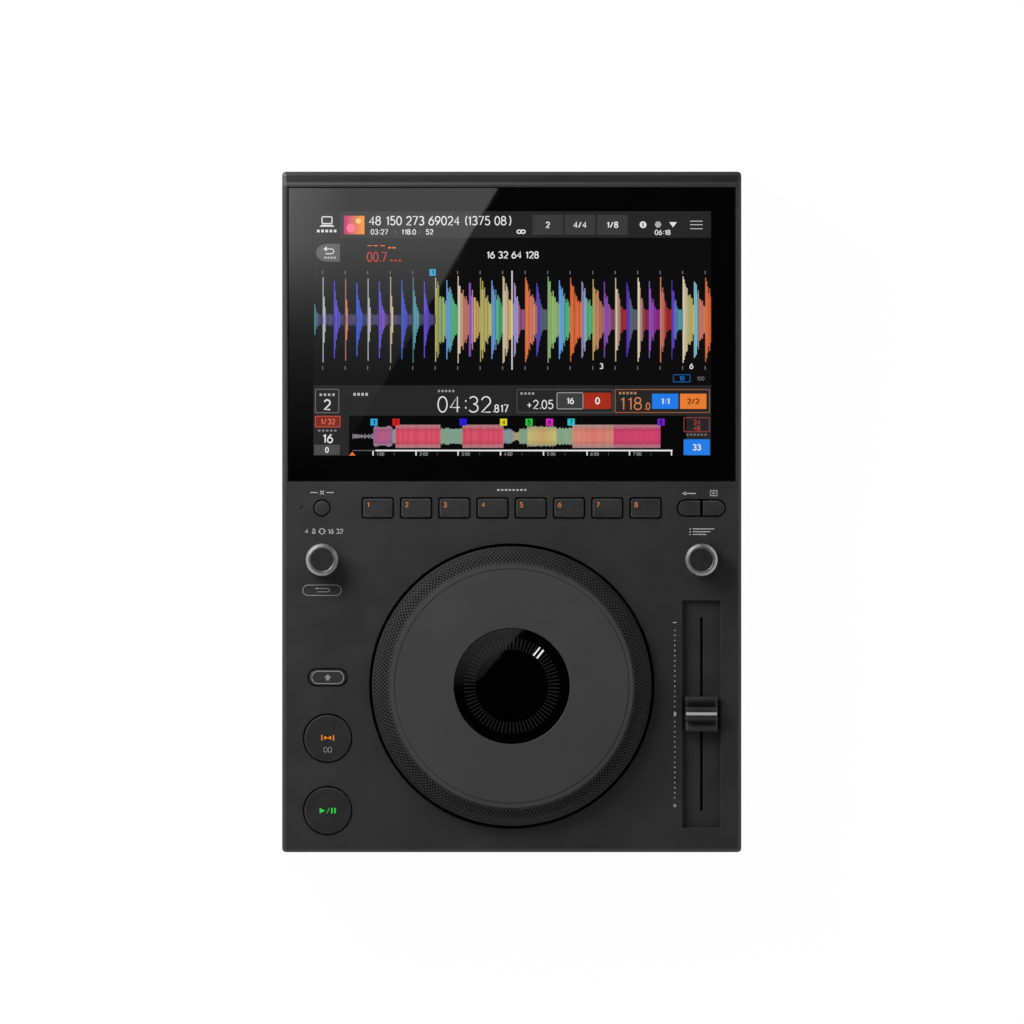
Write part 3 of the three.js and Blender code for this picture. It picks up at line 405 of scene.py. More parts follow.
def moulded(name, dark, light, patch=18.0, grain=0.5, depth=0.01, rough=(0.45, 0.6), worn=None,
            metallic=0.0, ior=1.5, coat=0.0, painted_rear_shade_from=None, tinted=False):
    """Wandering tone between two colours, grain in the bump, and rubbed edges."""
    look = Finish(name)
    patches = look.noise(patch)
    speck = look.noise(grain, 2.0)
    tone = look.mix(look.spread(patches, 0.0, 1.0), dark, light)
    tone = look.mix(look.spread(speck, 0.0, 0.12), tone, light)
    # A tint on the faces darkens the tone; on the wheel rim it is painted shade in the pits.
    if tinted:
        tone = look.times(tone, look.add("VertexColor", {"layer_name": "tint"}).outputs["Color"])
    # Painted shade: behind the given depth the tone is darkened.
    if painted_rear_shade_from:
        behind = look.add("SeparateXYZ", Vector=look.place()).outputs["Y"]
        painted_shade_tone = look.times(tone, PAINTED_REAR_SHADE)
        strip = look.spread(behind, 0.0, 1.0, (painted_rear_shade_from - 0.3) * MM, (painted_rear_shade_from + 0.3) * MM)
        tone = look.mix(strip, tone, painted_shade_tone)
    if worn:
        rubbed = look.maths("MULTIPLY", look.edges(0.5, 0.55), look.spread(patches, 0.5, 1.0))
        tone = look.mix(rubbed, tone, worn)
    bump = look.add("Bump", Height=speck, Strength=0.6, Distance=depth * MM)
    shader = look.add(
        "BsdfPrincipled",
        Base_Color=tone,
        Roughness=look.spread(patches, *rough),
        Normal=bump.outputs["Normal"],
        Metallic=metallic,
        IOR=ior,
        Coat_Weight=coat,
        Coat_Roughness=0.28,
    )
    return look.end(shader)


# The case is painted darker behind 178.5 mm: painted shade on its rear strip.
case_matte = moulded(
    "case_matte", grey(45), grey(48), grain=0.7, depth=0.02, worn=grey(66), coat=0.8,
    painted_rear_shade_from=178.5,
)
key_matte = moulded("key_matte", grey(36), grey(40), patch=9.0, grain=0.5, worn=grey(110))
cap_matte = moulded("cap_matte", grey(44), grey(50), patch=9.0, grain=0.5, worn=grey(110))
plate_satin = moulded("plate_satin", grey(72), grey(74), patch=30.0, grain=0.35, rough=(0.42, 0.5))
# The rim's face tint is painted shade in the pits of its grip.
grip_rubber = moulded(
    "grip_rubber", grey(60), grey(68), patch=12.0, grain=0.3, rough=(0.5, 0.66), ior=1.24,
    tinted=True,
)
knob_face = moulded("knob_face", grey(36), grey(41), patch=4.0, grain=0.3, rough=(0.4, 0.5))
blued_steel = moulded(
    "blued_steel", grey(26), grey(40), patch=5.0, rough=(0.45, 0.6), metallic=0.8
)
tray_paint = moulded("tray_paint", grey(34), grey(40), grain=0.9, depth=0.03, worn=grey(96))
foot_rubber = moulded("foot_rubber", grey(22), grey(30), patch=5.0, rough=(0.8, 0.95))
black_plastic = moulded("black_plastic", grey(18), grey(26), patch=6.0, rough=(0.4, 0.55))
knob_metal = moulded(
    "knob_metal", grey(150), grey(172), patch=4.0, grain=0.2, depth=0.004, rough=(0.3, 0.42),
    metallic=0.85,
)
bright_steel = moulded(
    "bright_steel", grey(166), grey(190), patch=3.0, rough=(0.22, 0.36), metallic=1.0
)
gold_contact = moulded(
    "gold_contact", colour(196, 152, 70), colour(226, 184, 98), patch=1.0, rough=(0.2, 0.3),
    metallic=1.0,
)
board_green = moulded(
    "board_green", colour(18, 62, 40), colour(26, 82, 50), patch=8.0, rough=(0.35, 0.5), coat=0.4
)
print("made", len(bpy.data.materials), "finishes")

# %% [markdown]
# Glass is nearly black here: a sheet of smooth, dark material whose mirror layer carries all of
# the light. Fingerprints would be a story of their own, so only a slight unevenness of the
# polish is left.

# %% Glass
MIRROR_ROUGH = (0.008, 0.02)


def polished(name, dark, light, smear=40.0):
    """A smooth black sheet with a faint unevenness of its polish."""
    look = Finish(name)
    smears = look.noise(smear, 4.0)
    fine = look.noise(1.5, 3.0)
    bump = look.add("Bump", Height=fine, Strength=0.04, Distance=0.01 * MM)
    shader = look.add(
        "BsdfPrincipled",
        Base_Color=look.mix(smears, dark, light),
        Roughness=look.spread(smears, *MIRROR_ROUGH),
        Normal=bump.outputs["Normal"],
        IOR=1.5,
    )
    return look.end(shader)


display_glass = polished("display_glass", grey(2), grey(6))
lens_glass = polished("lens_glass", grey(1), grey(4), smear=25.0)
panel_black = moulded("panel_black", grey(12), grey(20), patch=10.0, rough=(0.3, 0.4))
print("two glasses made, roughness", MIRROR_ROUGH)

# %% [markdown]
# ## The case and its inner pieces
#
# Every solid from the CAD frame gets a finish and a soft edge. The table says which finish each
# solid wears and how far its edges are rounded, in millimetres. Hidden pieces are dressed as
# well, since this part may be opened up in another scene. Three solids merge their flat triangles
# within a finer angle, since theirs would else fold over where a rounded corner comes close.

# %% Dress the CAD solids
wardrobe = {
    case_matte: {"top_case": 0.3, "fader_plate": 0.2, "rear_tub": 0.3, "status_indicator": 0.1},
    tray_paint: {"bottom_tray": 0.4, "power_supply": 0.4},
    foot_rubber: {"foot_front_left": 0.6, "foot_front_right": 0.6, "foot_rear_left": 0.6,
                  "foot_rear_right": 0.6, "pad_sheet": 0.3},
    display_glass: {"touch_glass": 0.35},
    panel_black: {"display_panel": 0.3, "jog_screen": 0.2},
    black_plastic: {"jog_base": 0.4, "jog_sensor": 0.2, "power_switch": 0.3, "power_inlet": 0.3,
                    "digital_out": 0.2, "audio_out_right": 0.2, "audio_out_left": 0.2,
                    "loop_encoder": 0.2, "browse_encoder": 0.2, "fader_lever": 0.2},
    bright_steel: {"jog_bearing": 0.3, "jog_code_disc": 0.05, "network_port": 0.15,
                   "host_port": 0.15, "device_port": 0.15, "loop_shaft": 0.2,
                   "browse_shaft": 0.2, "loop_plunger": 0.2, "browse_plunger": 0.2},
    blued_steel: {"fader_track": 0.2},
    board_green: {"control_board": 0.1, "transport_board": 0.1, "main_board": 0.1},
    cap_matte: {"delete_button": 0.45, "back_button": 0.45, "tag_button": 0.45,
                "shift_button": 0.3, "fader_cap": 0.3, "power_button": 0.4,
                **{f"pad_{number}": 0.5 for number in range(1, 9)}},
    key_matte: {"cue_button": 0.5, "play_button": 0.5},
}
FLAT_WITHIN = 0.3
finer_flats = {"top_case": 0.05, "back_button": 0.02, "tag_button": 0.02}
for finish, solids in wardrobe.items():
    for solid, width in solids.items():
        nodes[solid].data.materials.clear()
        nodes[solid].data.materials.append(finish)
        soften(nodes[solid], width, solid != "top_case", finer_flats.get(solid, FLAT_WITHIN))
undressed = sorted(set(nodes) - {solid for solids in wardrobe.values() for solid in solids})
print("still to be made as pieces:", undressed)

# %% [markdown]
# ## The wheel
#
# The rim of the wheel is moulded with a fine diamond grip, so that a fingertip can drag it. A
# photograph of bumps would look flat from the side, so the grip is real: the rim is a lathe with
# 840 steps, and some of its points are pressed in. The pits stand like the black squares of a
# chessboard, four steps apart. They only ever press inwards, which keeps the rim inside its CAD
# size, and they fade out towards the smooth lip next to the plate. The faces of each pit also
# get a darker tint: painted shade in the hollows.

# %% The rim, its grip and the parts under it
GRIP_STEPS = 840
GRIP_ROWS = 20
GRIP_DEPTH = 0.5
PAINTED_PIT_SHADE = 0.93
PIT_PITCH = 4
LIP_FADE = 0.1
RIM_RADIUS = 76.3
crown_corners = [(RIM_RADIUS, 66.0), (75.23, 69.02), (72.58, 71.88), (67.0, 74.4)]


def crown_point(share):
    """A point of the rim's crown, from its shoulder (0) to its lip (1)."""
    sides = list(zip(crown_corners, crown_corners[1:]))
    reach = share * sum(math.dist(a, b) for a, b in sides)
    for a, b in sides:
        length = math.dist(a, b)
        if reach <= length:
            part = reach / length
            return (a[0] + (b[0] - a[0]) * part, a[1] + (b[1] - a[1]) * part)
        reach -= length
    return crown_corners[-1]


def pit(row, step):
    """1 in the middle of a pit, a half beside it and 0 on the ridges between pits."""
    for middle in (0, PIT_PITCH // 2):
        away_row = min((row - middle) % PIT_PITCH, (middle - row) % PIT_PITCH)
        away_step = min((step - middle) % PIT_PITCH, (middle - step) % PIT_PITCH)
        if away_row + away_step < 2:
            return 1.0 - 0.5 * (away_row + away_step)
    return 0.0


def grip_fade(crown_row):
    """The grip ends at the shoulder and fades out before the lip."""
    if crown_row < 1 or crown_row > GRIP_ROWS:
        return 0.0
    return min(1.0, (1.0 - crown_row / GRIP_ROWS) / LIP_FADE)


def grip_press(row, step):
    """How far a point of the rim moves out and up: both are inwards, or nothing."""
    crown_row = row - grip_first
    slope = math.radians(70 - 50 * crown_row / GRIP_ROWS)
    depth = GRIP_DEPTH * grip_fade(crown_row) * pit(crown_row, step)
    return (-depth * math.sin(slope), -depth * math.cos(slope))


under_rim = [
    (24.25, 52.2), (27.95, 52.2), (27.95, 65.4), (36.25, 65.4), (36.25, 70.7), (73.3, 70.7),
    (73.3, 59.3), (73.6, 59.0), (76.0, 59.0), (RIM_RADIUS, 59.3),
]
grip_first = len(under_rim)
crown = [crown_point(i / GRIP_ROWS) for i in range(GRIP_ROWS + 1)]
inside_rim = [
    (66.86, 74.34), (66.8, 74.2), (66.8, 73.2), (33.25, 73.2), (33.25, 68.4), (24.25, 68.4),
]
rim = Build()
rim.lathe(under_rim + crown + inside_rim, GRIP_STEPS, WHEEL, ring=True, shift=grip_press)
# Painted shade: the faces round each pit get a darker tint.
for face in range(len(rim.faces)):
    face_row, face_step = divmod(face, GRIP_STEPS)
    corner_row = face_row - grip_first
    corner_row += corner_row % 2
    corner_step = face_step + face_step % 2
    painted_pit_shade = grip_fade(corner_row) * pit(corner_row, corner_step)
    rim.tints[face] = (1.0 - PAINTED_PIT_SHADE * painted_pit_shade,) * 3
wheel_rim = rim.piece("wheel_rim", grip_rubber, "wheel", "ring_plastic")
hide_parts("jog_ring")
print("wheel rim:", len(rim.faces), "faces, pits every",
      round(2 * math.pi * RIM_RADIUS * PIT_PITCH / GRIP_STEPS, 2), "mm")

# %% [markdown]
# The plate inside the rim is one turned sheet of dark satin metal. A fine groove near its edge
# sets off an outer band. The groove could be a dark line in the material, but turned into the
# profile it catches the light on one side, as the real one does.

# %% The plate
plate = Build()
plate_profile = [
    (31.75, 73.6), (31.85, 73.5), (66.6, 73.5), (66.7, 73.6), (66.7, 75.8), (66.65, 75.9),
    (66.5, 75.96), (66.2, 75.98), (64.25, 75.98), (64.13, 75.6), (63.97, 75.6), (63.85, 75.98),
    (63.6, 76.0), (32.1, 76.0), (31.9, 75.96), (31.78, 75.86), (31.75, 75.7),
]
PLATE_STEPS = 360
plate.lathe(plate_profile, PLATE_STEPS, WHEEL, ring=True)
wheel_plate = plate.piece("wheel_plate", plate_satin, "wheel", "plate_metal")
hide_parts("jog_plate")
print("wheel plate:", len(plate.faces), "faces")

# %% [markdown]
# A round black lens sits in the middle and stays still while the wheel turns round it. Its edge
# is left sharp: it lies a hair below the plate, and a slope there would glare like a bright wire.

# %% The lens
LENS_TOP = box_mm("jog_lens")[1].z
LENS_STEPS = 240
lens = Build()
lens_profile = [
    (0.0, 73.5), (31.2, 73.5), (31.35, 73.65), (31.35, 75.8), (20.0, 75.8), (0.0, 75.8),
]
lens.lathe(lens_profile, LENS_STEPS, WHEEL)
lens_piece = lens.piece("lens", lens_glass, "chassis", "display_glass")
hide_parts("jog_lens")
print("lens:", len(lens.faces), "faces")

# %% [markdown]
# ## Knobs
#
# Both knobs push and turn. The side is dark, the bevelled rim is bare bright metal and the face
# is dished and dark. Fine grooves on the side give the fingers a hold; they are pressed in, like
# the diamonds of the wheel.

# %% The two knobs
KNOB_STEPS = 192
GROOVE_DEPTH = 0.22
GROOVED_ROWS = range(4, 8)
RIM_START, DISH_RADIUS, DISH_TOP = 74.45, 6.4, 76.45
knob_profile = [
    (0.0, 72.8), (3.3, 72.8), (3.3, 62.8), (8.6, 62.8), (8.7, 63.6), (8.8, 63.9), (8.8, 73.9),
    (8.7, 74.2), (8.85, 74.5), (8.85, 74.9), (8.78, 75.1), (7.5, 76.42), (7.3, 76.5), (6.5, 76.5),
    (6.35, 76.42), (6.3, 76.15), (6.1, 76.1), (0.0, 76.1),
]


def knob_groove(row, step):
    """Presses every other pair of steps in along the side of the knob."""
    return (-GROOVE_DEPTH if row in GROOVED_ROWS and step % 4 < 2 else 0.0, 0.0)


for solid in ("loop_knob", "browse_knob"):
    middle = box_mm(solid)[2]
    knob = Build()
    knob.lathe(knob_profile, KNOB_STEPS, (middle.x, middle.y), shift=knob_groove)
    knob_piece = knob.piece(solid + "_cap", knob_metal, solid, "knob_plastic")
    knob_piece.data.materials.append(knob_face)
    for polygon in knob_piece.data.polygons:
        radius = math.hypot(polygon.center.x / MM - middle.x, polygon.center.y / MM - middle.y)
        height = polygon.center.z / MM
        if height < RIM_START or (radius < DISH_RADIUS and height < DISH_TOP):
            polygon.material_index = 1
    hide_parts(solid)
print("knobs done")

# %% [markdown]
# ## Numerals and icons
#
# All lettering on this player is plain numbers and simple icons. A font could be used, but the
# thin, even strokes of instrument lettering are easy to draw: each numeral is one or two lines
# in a box 0.6 wide and 1 high, and a ribbon along each line gives it its weight.

# %% Stroke numerals
def oval(x, y, half_width, half_height, steps=16):
    """A closed oval about a middle point."""
    return [(x + half_width * a, y + half_height * b) for a, b in disc(0, 0, 1, steps)]


def bow(x, y, half_width, half_height, start, end, steps=10):
    """Part of an oval, from one angle to another."""
    return [(x + half_width * a, y + half_height * b) for a, b in arc(0, 0, 1, start, end, steps)]


# Each numeral is a list of lines; True closes a line.
NUMERALS = {
    "0": [(oval(0.3, 0.5, 0.3, 0.5, 20), True)],
    "1": [([(0.12, 0.8), (0.34, 1.0), (0.34, 0.0)], False)],
    "2": [(bow(0.3, 0.7, 0.29, 0.3, 165, -30) + [(0.02, 0.0), (0.6, 0.0)], False)],
    "3": [(bow(0.28, 0.76, 0.27, 0.24, 150, -90) + bow(0.28, 0.26, 0.31, 0.26, 85, -150), False)],
    "4": [([(0.46, 0.0), (0.46, 1.0), (0.0, 0.3), (0.62, 0.3)], False)],
    "5": [([(0.56, 1.0), (0.12, 1.0), (0.07, 0.55)] + bow(0.28, 0.32, 0.31, 0.32, 130, -150),
           False)],
    "6": [(oval(0.3, 0.31, 0.3, 0.31), True), ([(0.48, 1.0), (0.2, 0.75), (0.03, 0.42)], False)],
    "7": [([(0.0, 1.0), (0.6, 1.0), (0.2, 0.0)], False)],
    "8": [(oval(0.3, 0.77, 0.25, 0.23), True), (oval(0.3, 0.27, 0.3, 0.27), True)],
    "9": [(oval(0.3, 0.69, 0.3, 0.31), True), ([(0.57, 0.58), (0.4, 0.25), (0.12, 0.0)], False)],
    "-": [([(0.08, 0.42), (0.52, 0.42)], False)],
    "+": [([(0.05, 0.42), (0.55, 0.42)], False), ([(0.3, 0.16), (0.3, 0.68)], False)],
    "/": [([(0.08, 0.0), (0.5, 1.0)], False)],
    "(": [(bow(0.5, 0.5, 0.3, 0.62, 115, 245), False)],
    ")": [(bow(0.1, 0.5, 0.3, 0.62, 65, -65), False)],
    ":": [([(0.2, 0.22), (0.2, 0.34)], False), ([(0.2, 0.66), (0.2, 0.78)], False)],
    ".": [([(0.1, 0.0), (0.1, 0.12)], False)],
}
ADVANCE = {":": 0.42, ".": 0.3, "1": 0.62, "(": 0.45, ")": 0.45, " ": 0.45}
USUAL_ADVANCE = 0.82
LETTER_GAP = 0.22


def write(build, text, x, y, height, weight, low, high, tint=PLAIN, middle=False, narrow=1.0):
    """Writes numerals from a lower left corner, or about a middle."""
    steps = [ADVANCE.get(character, USUAL_ADVANCE) for character in text]
    total = (sum(steps) - LETTER_GAP) * height * narrow
    x = x - total / 2 if middle else x
    y = y - height / 2 if middle else y
    for character, step in zip(text, steps):
        for line, closed in NUMERALS.get(character, []):
            placed = [(x + a * height * narrow, y + b * height) for a, b in line]
            build.ribbon(placed, weight, low, high, tint, closed)
        x += step * height * narrow


print(len(NUMERALS), "characters can be written")

# %% [markdown]
# Printing ink is a little uneven and slightly raised. The marks that are lit from behind glow,
# and those that lie under glass are as smooth as the glass.

# %% Ink and lit marks
def ink(name, tone, glow=0.0, rough=(0.45, 0.6)):
    """Printed or lit marks: a tone that varies with the screen printing."""
    look = Finish(name)
    blots = look.noise(0.6, 3.0)
    thin = tuple(0.6 * part for part in tone[:3]) + (1.0,)
    shade = look.mix(look.spread(blots, 0.0, 0.25), tone, thin)
    bump = look.add("Bump", Height=blots, Strength=0.3, Distance=0.01 * MM)
    shader = look.add(
        "BsdfPrincipled",
        Base_Color=shade,
        Roughness=look.spread(blots, *rough),
        Normal=bump.outputs["Normal"],
        Emission_Color=shade,
        Emission_Strength=glow,
    )
    return look.end(shader)


white_ink = ink("white_ink", grey(215))
pale_ink = ink("pale_ink", grey(170))
amber_lit = ink("amber_lit", colour(196, 122, 62), glow=0.5)
green_lit = ink("green_lit", colour(30, 186, 62), glow=0.75)
orange_lit = ink("orange_lit", colour(205, 122, 30), glow=0.6)
print("inks of the deck made")

# %% [markdown]
# ## Marks on the deck
#
# The marks lie on the deck or on a cap, a few hundredths of a millimetre thick. Marks on a cap
# ride on the cap's body, so that they sink with it when it is pressed.

# %% Numbers on the pads
INK = 0.03
SUNK = 0.01
NUMBER_HEIGHT, NUMBER_WEIGHT = 2.5, 0.42


def mark(name, material, body, surface, draw):
    """Makes one printed piece by calling a drawing function with its two heights."""
    build = Build()
    draw(build, surface - SUNK, surface + INK)
    build.piece(name, material, body)


for number in range(1, 9):
    pad = f"pad_{number}"
    pad_middle = box_mm(pad)[2]
    left, foot = pad_middle.x - 5.9, pad_middle.y + 0.6

    def pad_number(build, low, high, text=str(number), x=left, y=foot):
        write(build, text, x, y, NUMBER_HEIGHT, NUMBER_WEIGHT, low, high)

    mark(f"pad_number_{number}", amber_lit, pad, box_mm(pad)[1].z, pad_number)
print("eight pads numbered, each", NUMBER_HEIGHT, "mm high")

# %% [markdown]
# Small icons stand where the deck explains its keys: a cross for erase, arrows round a loop, a
# list, a tag. The row of dashes over the pads groups them.

# %% Icons on the deck
LOOP_X = box_mm("loop_knob")[2].x
BROWSE_X = box_mm("browse_knob")[2].x
FINE, THIN = 0.4, 0.45


def arrow_head(build, x, y, angle, size, low, high):
    """A solid triangle that points at an angle, in degrees."""
    turn = math.radians(angle)
    corners = [(size, 0.0), (-size * 0.6, size * 0.8), (-size * 0.6, -size * 0.8)]
    placed = [(x + a * math.cos(turn) - b * math.sin(turn),
               y + a * math.sin(turn) + b * math.cos(turn)) for a, b in corners]
    build.prism(placed, low, high)


def left_icons(build, low, high):
    """A cross between two dashes, and numbers beside a ring of two arrows."""
    cross_y, ring_y = 10.6, -10.6
    for rise in (1, -1):
        build.ribbon([(LOOP_X - 1, cross_y - rise), (LOOP_X + 1, cross_y + rise)], THIN, low, high)
    for side in (-1, 1):
        dash = [(LOOP_X + side * 2.4, cross_y), (LOOP_X + side * 6.4, cross_y)]
        build.ribbon(dash, THIN, low, high)
    for start, side in ((30, 1), (210, -1)):
        build.ribbon(arc(LOOP_X, ring_y, 1.5, start, start + 140, 8), FINE, low, high)
        arrow_head(build, LOOP_X + side * 1.45, ring_y + side * 0.1, 20 - side * 90, 0.8, low, high)
    for text, aside in (("4", -9.2), ("8", -5.2), ("16", 3.2), ("32", 7.9)):
        write(build, text, LOOP_X + aside, -11.8, 2.4, NUMBER_WEIGHT, low, high)


def middle_icons(build, low, high):
    """A row of eight dashes."""
    for place in range(8):
        x = (place - 3.5) * 2.1
        build.ribbon([(x - 0.65, 12.0), (x + 0.65, 12.0)], 0.9, low, high)


def right_icons(build, low, high):
    """An arrow back, a plus in a box, and a list of three lines."""
    build.ribbon([(94.4, 10.1), (100.6, 10.1)], 0.6, low, high)
    arrow_head(build, 94.4, 10.1, 180, 1.4, low, high)
    build.ribbon(rect(108.6, 8.9, 112.2, 11.7), FINE, low, high, closed=True)
    build.ribbon([(109.2, 10.3), (111.6, 10.3)], FINE, low, high)
    build.ribbon([(110.4, 9.3), (110.4, 11.3)], FINE, low, high)
    for line in range(3):
        y = -9.3 - line * 1.5
        build.prism(disc(BROWSE_X - 6.2, y, 0.42, 12), low, high)
        build.ribbon([(BROWSE_X - 4.8, y), (BROWSE_X + 7.0 - line * 2.2, y)], 0.55, low, high)


mark("left_icons", white_ink, "chassis", DECK, left_icons)
mark("middle_icons", white_ink, "chassis", DECK, middle_icons)
mark("right_icons", white_ink, "chassis", DECK, right_icons)


def loop_return(build, low, high):
    """An arrow that turns back, in a capsule."""
    middle_y, bend = -42.8, 0.9
    build.ribbon(rounded(LOOP_X, middle_y, 20.9, 5.7, 2.84), 0.36, low, high, closed=True)
    for side in (1, -1):
        y = middle_y + side * bend
        build.ribbon([(LOOP_X + 3.2, y), (LOOP_X - 2.6, y)], FINE, low, high)
    build.ribbon(arc(LOOP_X + 3.2, middle_y, bend, -90, 90, 8), FINE, low, high)
    arrow_head(build, LOOP_X - 3.0, middle_y + bend, 180, 0.8, low, high)


mark("loop_return_icon", pale_ink, "chassis", DECK, loop_return)
print("icons stand at x", round(LOOP_X, 1), "and", round(BROWSE_X, 1))

# %% [markdown]
# The large keys carry their signs on their faces, two of them lit from below. A sign could be
# painted into the key's material, but as a thin piece of its own it stays sharp from close by
# and can glow by itself.

# %% Marks on the large keys
SHIFT, CUE, PLAY = (box_mm(key)[2] for key in ("shift_button", "cue_button", "play_button"))
PLAY_HALF = 1.5


def shift_mark(build, low, high):
    """A capsule round a broad arrow that points up."""
    build.ribbon(rounded(SHIFT.x, SHIFT.y, 17.4, 6.7, 3.3), FINE, low, high, closed=True)
    arrow = [(0.0, 1.7), (-2.0, -0.1), (-0.9, -0.1), (-0.9, -1.6), (0.9, -1.6), (0.9, -0.1),
             (2.0, -0.1)]
    build.prism([(SHIFT.x + a, SHIFT.y + b) for a, b in arrow], low, high)


def cue_mark(build, low, high):
    """Two arrows that meet between two bars."""
    for side in (-1, 1):
        bar_x = CUE.x + side * 3.2
        build.ribbon([(bar_x, CUE.y - 1.2), (bar_x, CUE.y + 1.8)], 0.7, low, high)
        arrow_head(build, CUE.x + side * 1.1, CUE.y + 0.3, 270 - side * 90, 1.35, low, high)


def cue_small(build, low, high):
    """Two small links."""
    for side in (-1, 1):
        link = rounded(CUE.x + side * 1.2, CUE.y - 6.2, 1.8, 2.6, 0.8)
        build.ribbon(link, 0.34, low, high, closed=True)


def play_mark(build, low, high):
    """A triangle, a slash and two bars."""
    low_y, high_y = PLAY.y - PLAY_HALF, PLAY.y + PLAY_HALF
    triangle = [(PLAY.x - 4.4, low_y), (PLAY.x - 1.4, PLAY.y), (PLAY.x - 4.4, high_y)]
    build.prism(triangle, low, high)
    build.ribbon([(PLAY.x - 0.5, low_y), (PLAY.x + 0.9, high_y)], 0.35, low, high)
    for x in (2.3, 4.0):
        build.ribbon([(PLAY.x + x, low_y), (PLAY.x + x, high_y)], 0.85, low, high)


for name, finish, key, draw in (
    ("shift_mark", pale_ink, "shift_button", shift_mark),
    ("cue_mark", orange_lit, "cue_button", cue_mark),
    ("cue_small_mark", pale_ink, "cue_button", cue_small),
    ("play_mark", green_lit, "play_button", play_mark),
):
    mark(name, finish, key, box_mm(key)[1].z, draw)
    print(name, "lies at z", round(box_mm(key)[1].z, 2))

# %% [markdown]
# A dotted scale runs beside the fader: minus at the rear, plus at the front, a half-round mark
# at zero and sixteen dots each way. Its length is the fader's travel. The line on the cap rides
# with the cap.

# %% The tempo scale and the line on the fader cap
SCALE_X = 89.1
FADER_Y = box_mm("fader_plate")[2].y
FADER_REACH = 50.0
SIGN_WEIGHT = 0.5
SCALE_DOTS = 16
FIRST_DOT, DOT_STEP = 4.1, 2.78
LINE_LOW, LINE_HIGH = 68.75, 68.84


def tempo_scale(build, low, high):
    """A minus, a plus, a half disc at zero and the dots between them."""
    for y in (FADER_Y + FADER_REACH, FADER_Y - FADER_REACH):
        build.ribbon([(SCALE_X - 1, y), (SCALE_X + 1, y)], SIGN_WEIGHT, low, high)
    build.ribbon([(SCALE_X, y - 1), (SCALE_X, y + 1)], SIGN_WEIGHT, low, high)
    build.prism(arc(SCALE_X - 0.5, FADER_Y, 1.4, -90, 90, 10), low, high)
    for dot in range(SCALE_DOTS):
        for side in (-1, 1):
            y = FADER_Y + side * (FIRST_DOT + DOT_STEP * dot)
            build.prism(disc(SCALE_X, y, 0.37, 10), low, high)


mark("tempo_scale", white_ink, "chassis", DECK, tempo_scale)
cap = box_mm("fader_cap")[2]
cap_line = Build()
cap_line.prism(rect(cap.x - 8.45, cap.y - 0.65, cap.x + 8.45, cap.y + 0.9), LINE_LOW, LINE_HIGH)
cap_line.piece("fader_line", white_ink, "tempo_slider")
print("fader line from z", LINE_LOW, "to", LINE_HIGH)

# %% [markdown]
# ## The lens
#
# Under the lens lies a ring of seventy-two faint ticks that light one by one as the wheel turns.
# Two bright bars show where it stands now. They could lie under real clear glass, but the lens is
# nearly black, so they are put on its top face, as smooth as the glass itself.

# %% Ticks and bars
dim_lit = ink("dim_lit", grey(30), glow=0.35, rough=MIRROR_ROUGH)
bright_lit = ink("bright_lit", grey(228), glow=0.85, rough=MIRROR_ROUGH)
LENS = box_mm("jog_lens")[2].xy
TICKS, TICK_WEIGHT = 72, 0.75
TICK_INNER, TICK_OUTER = 19.9, 26.2
BAR_ANGLE, BAR_WEIGHT = 51.0, 1.0
BAR_START, BAR_LENGTH, BAR_ASIDE = 20.4, 5.8, 1.15


def heading(angle):
    """A step of one millimetre at an angle, in degrees."""
    return Vector((math.cos(math.radians(angle)), math.sin(math.radians(angle))))


def tick_ring(build, low, high):
    """Fine radial lines all round."""
    for tick in range(TICKS):
        along = heading((tick + 0.5) * 360 / TICKS)
        build.ribbon([LENS + along * TICK_INNER, LENS + along * TICK_OUTER], TICK_WEIGHT, low, high)


def place_bars(build, low, high):
    """Two bars side by side, along one radius."""
    along = heading(BAR_ANGLE)
    for side in (-1, 1):
        start = LENS + along * BAR_START + Vector((along.y, -along.x)) * BAR_ASIDE * side
        build.ribbon([start, start + along * BAR_LENGTH], BAR_WEIGHT, low, high)


mark("lens_ticks", dim_lit, "chassis", LENS_TOP, tick_ring)
mark("lens_bars", bright_lit, "chassis", LENS_TOP, place_bars)
print(TICKS, "ticks and two bars at z", round(LENS_TOP, 2))

# %% [markdown]
# ## The picture on the display
#
# The display is drawn as thin tiles in a few layers on the glass. The picture has its own small
# coordinate system, the one a screen designer would use: columns to the right and rows down,
# both in dots. One function carries a dot to its place on the tilted glass.

# %% From dots to the tilted glass
TILT = math.radians(10)
SLOPE_Y = 16.3027
DOT_WIDTH, DOT_LENGTH = 0.5466, 0.555
FIRST_X, FIRST_ALONG = -108.4, 150.18
GLASS_DEPTH = -0.6
BASE_LAYER, LAYER = 0.02, 0.012
COLUMNS, ROWS = 397.6, 244.4


def on_glass(column, up, height):
    """A dot, with rows counted upwards, on the tilted glass; height is above the glass."""
    along = FIRST_ALONG + up * DOT_LENGTH
    over = GLASS_DEPTH + height
    y = SLOPE_Y + along * math.cos(TILT) - over * math.sin(TILT)
    z = DECK + along * math.sin(TILT) + over * math.cos(TILT)
    return (FIRST_X + column * DOT_WIDTH, y, z)


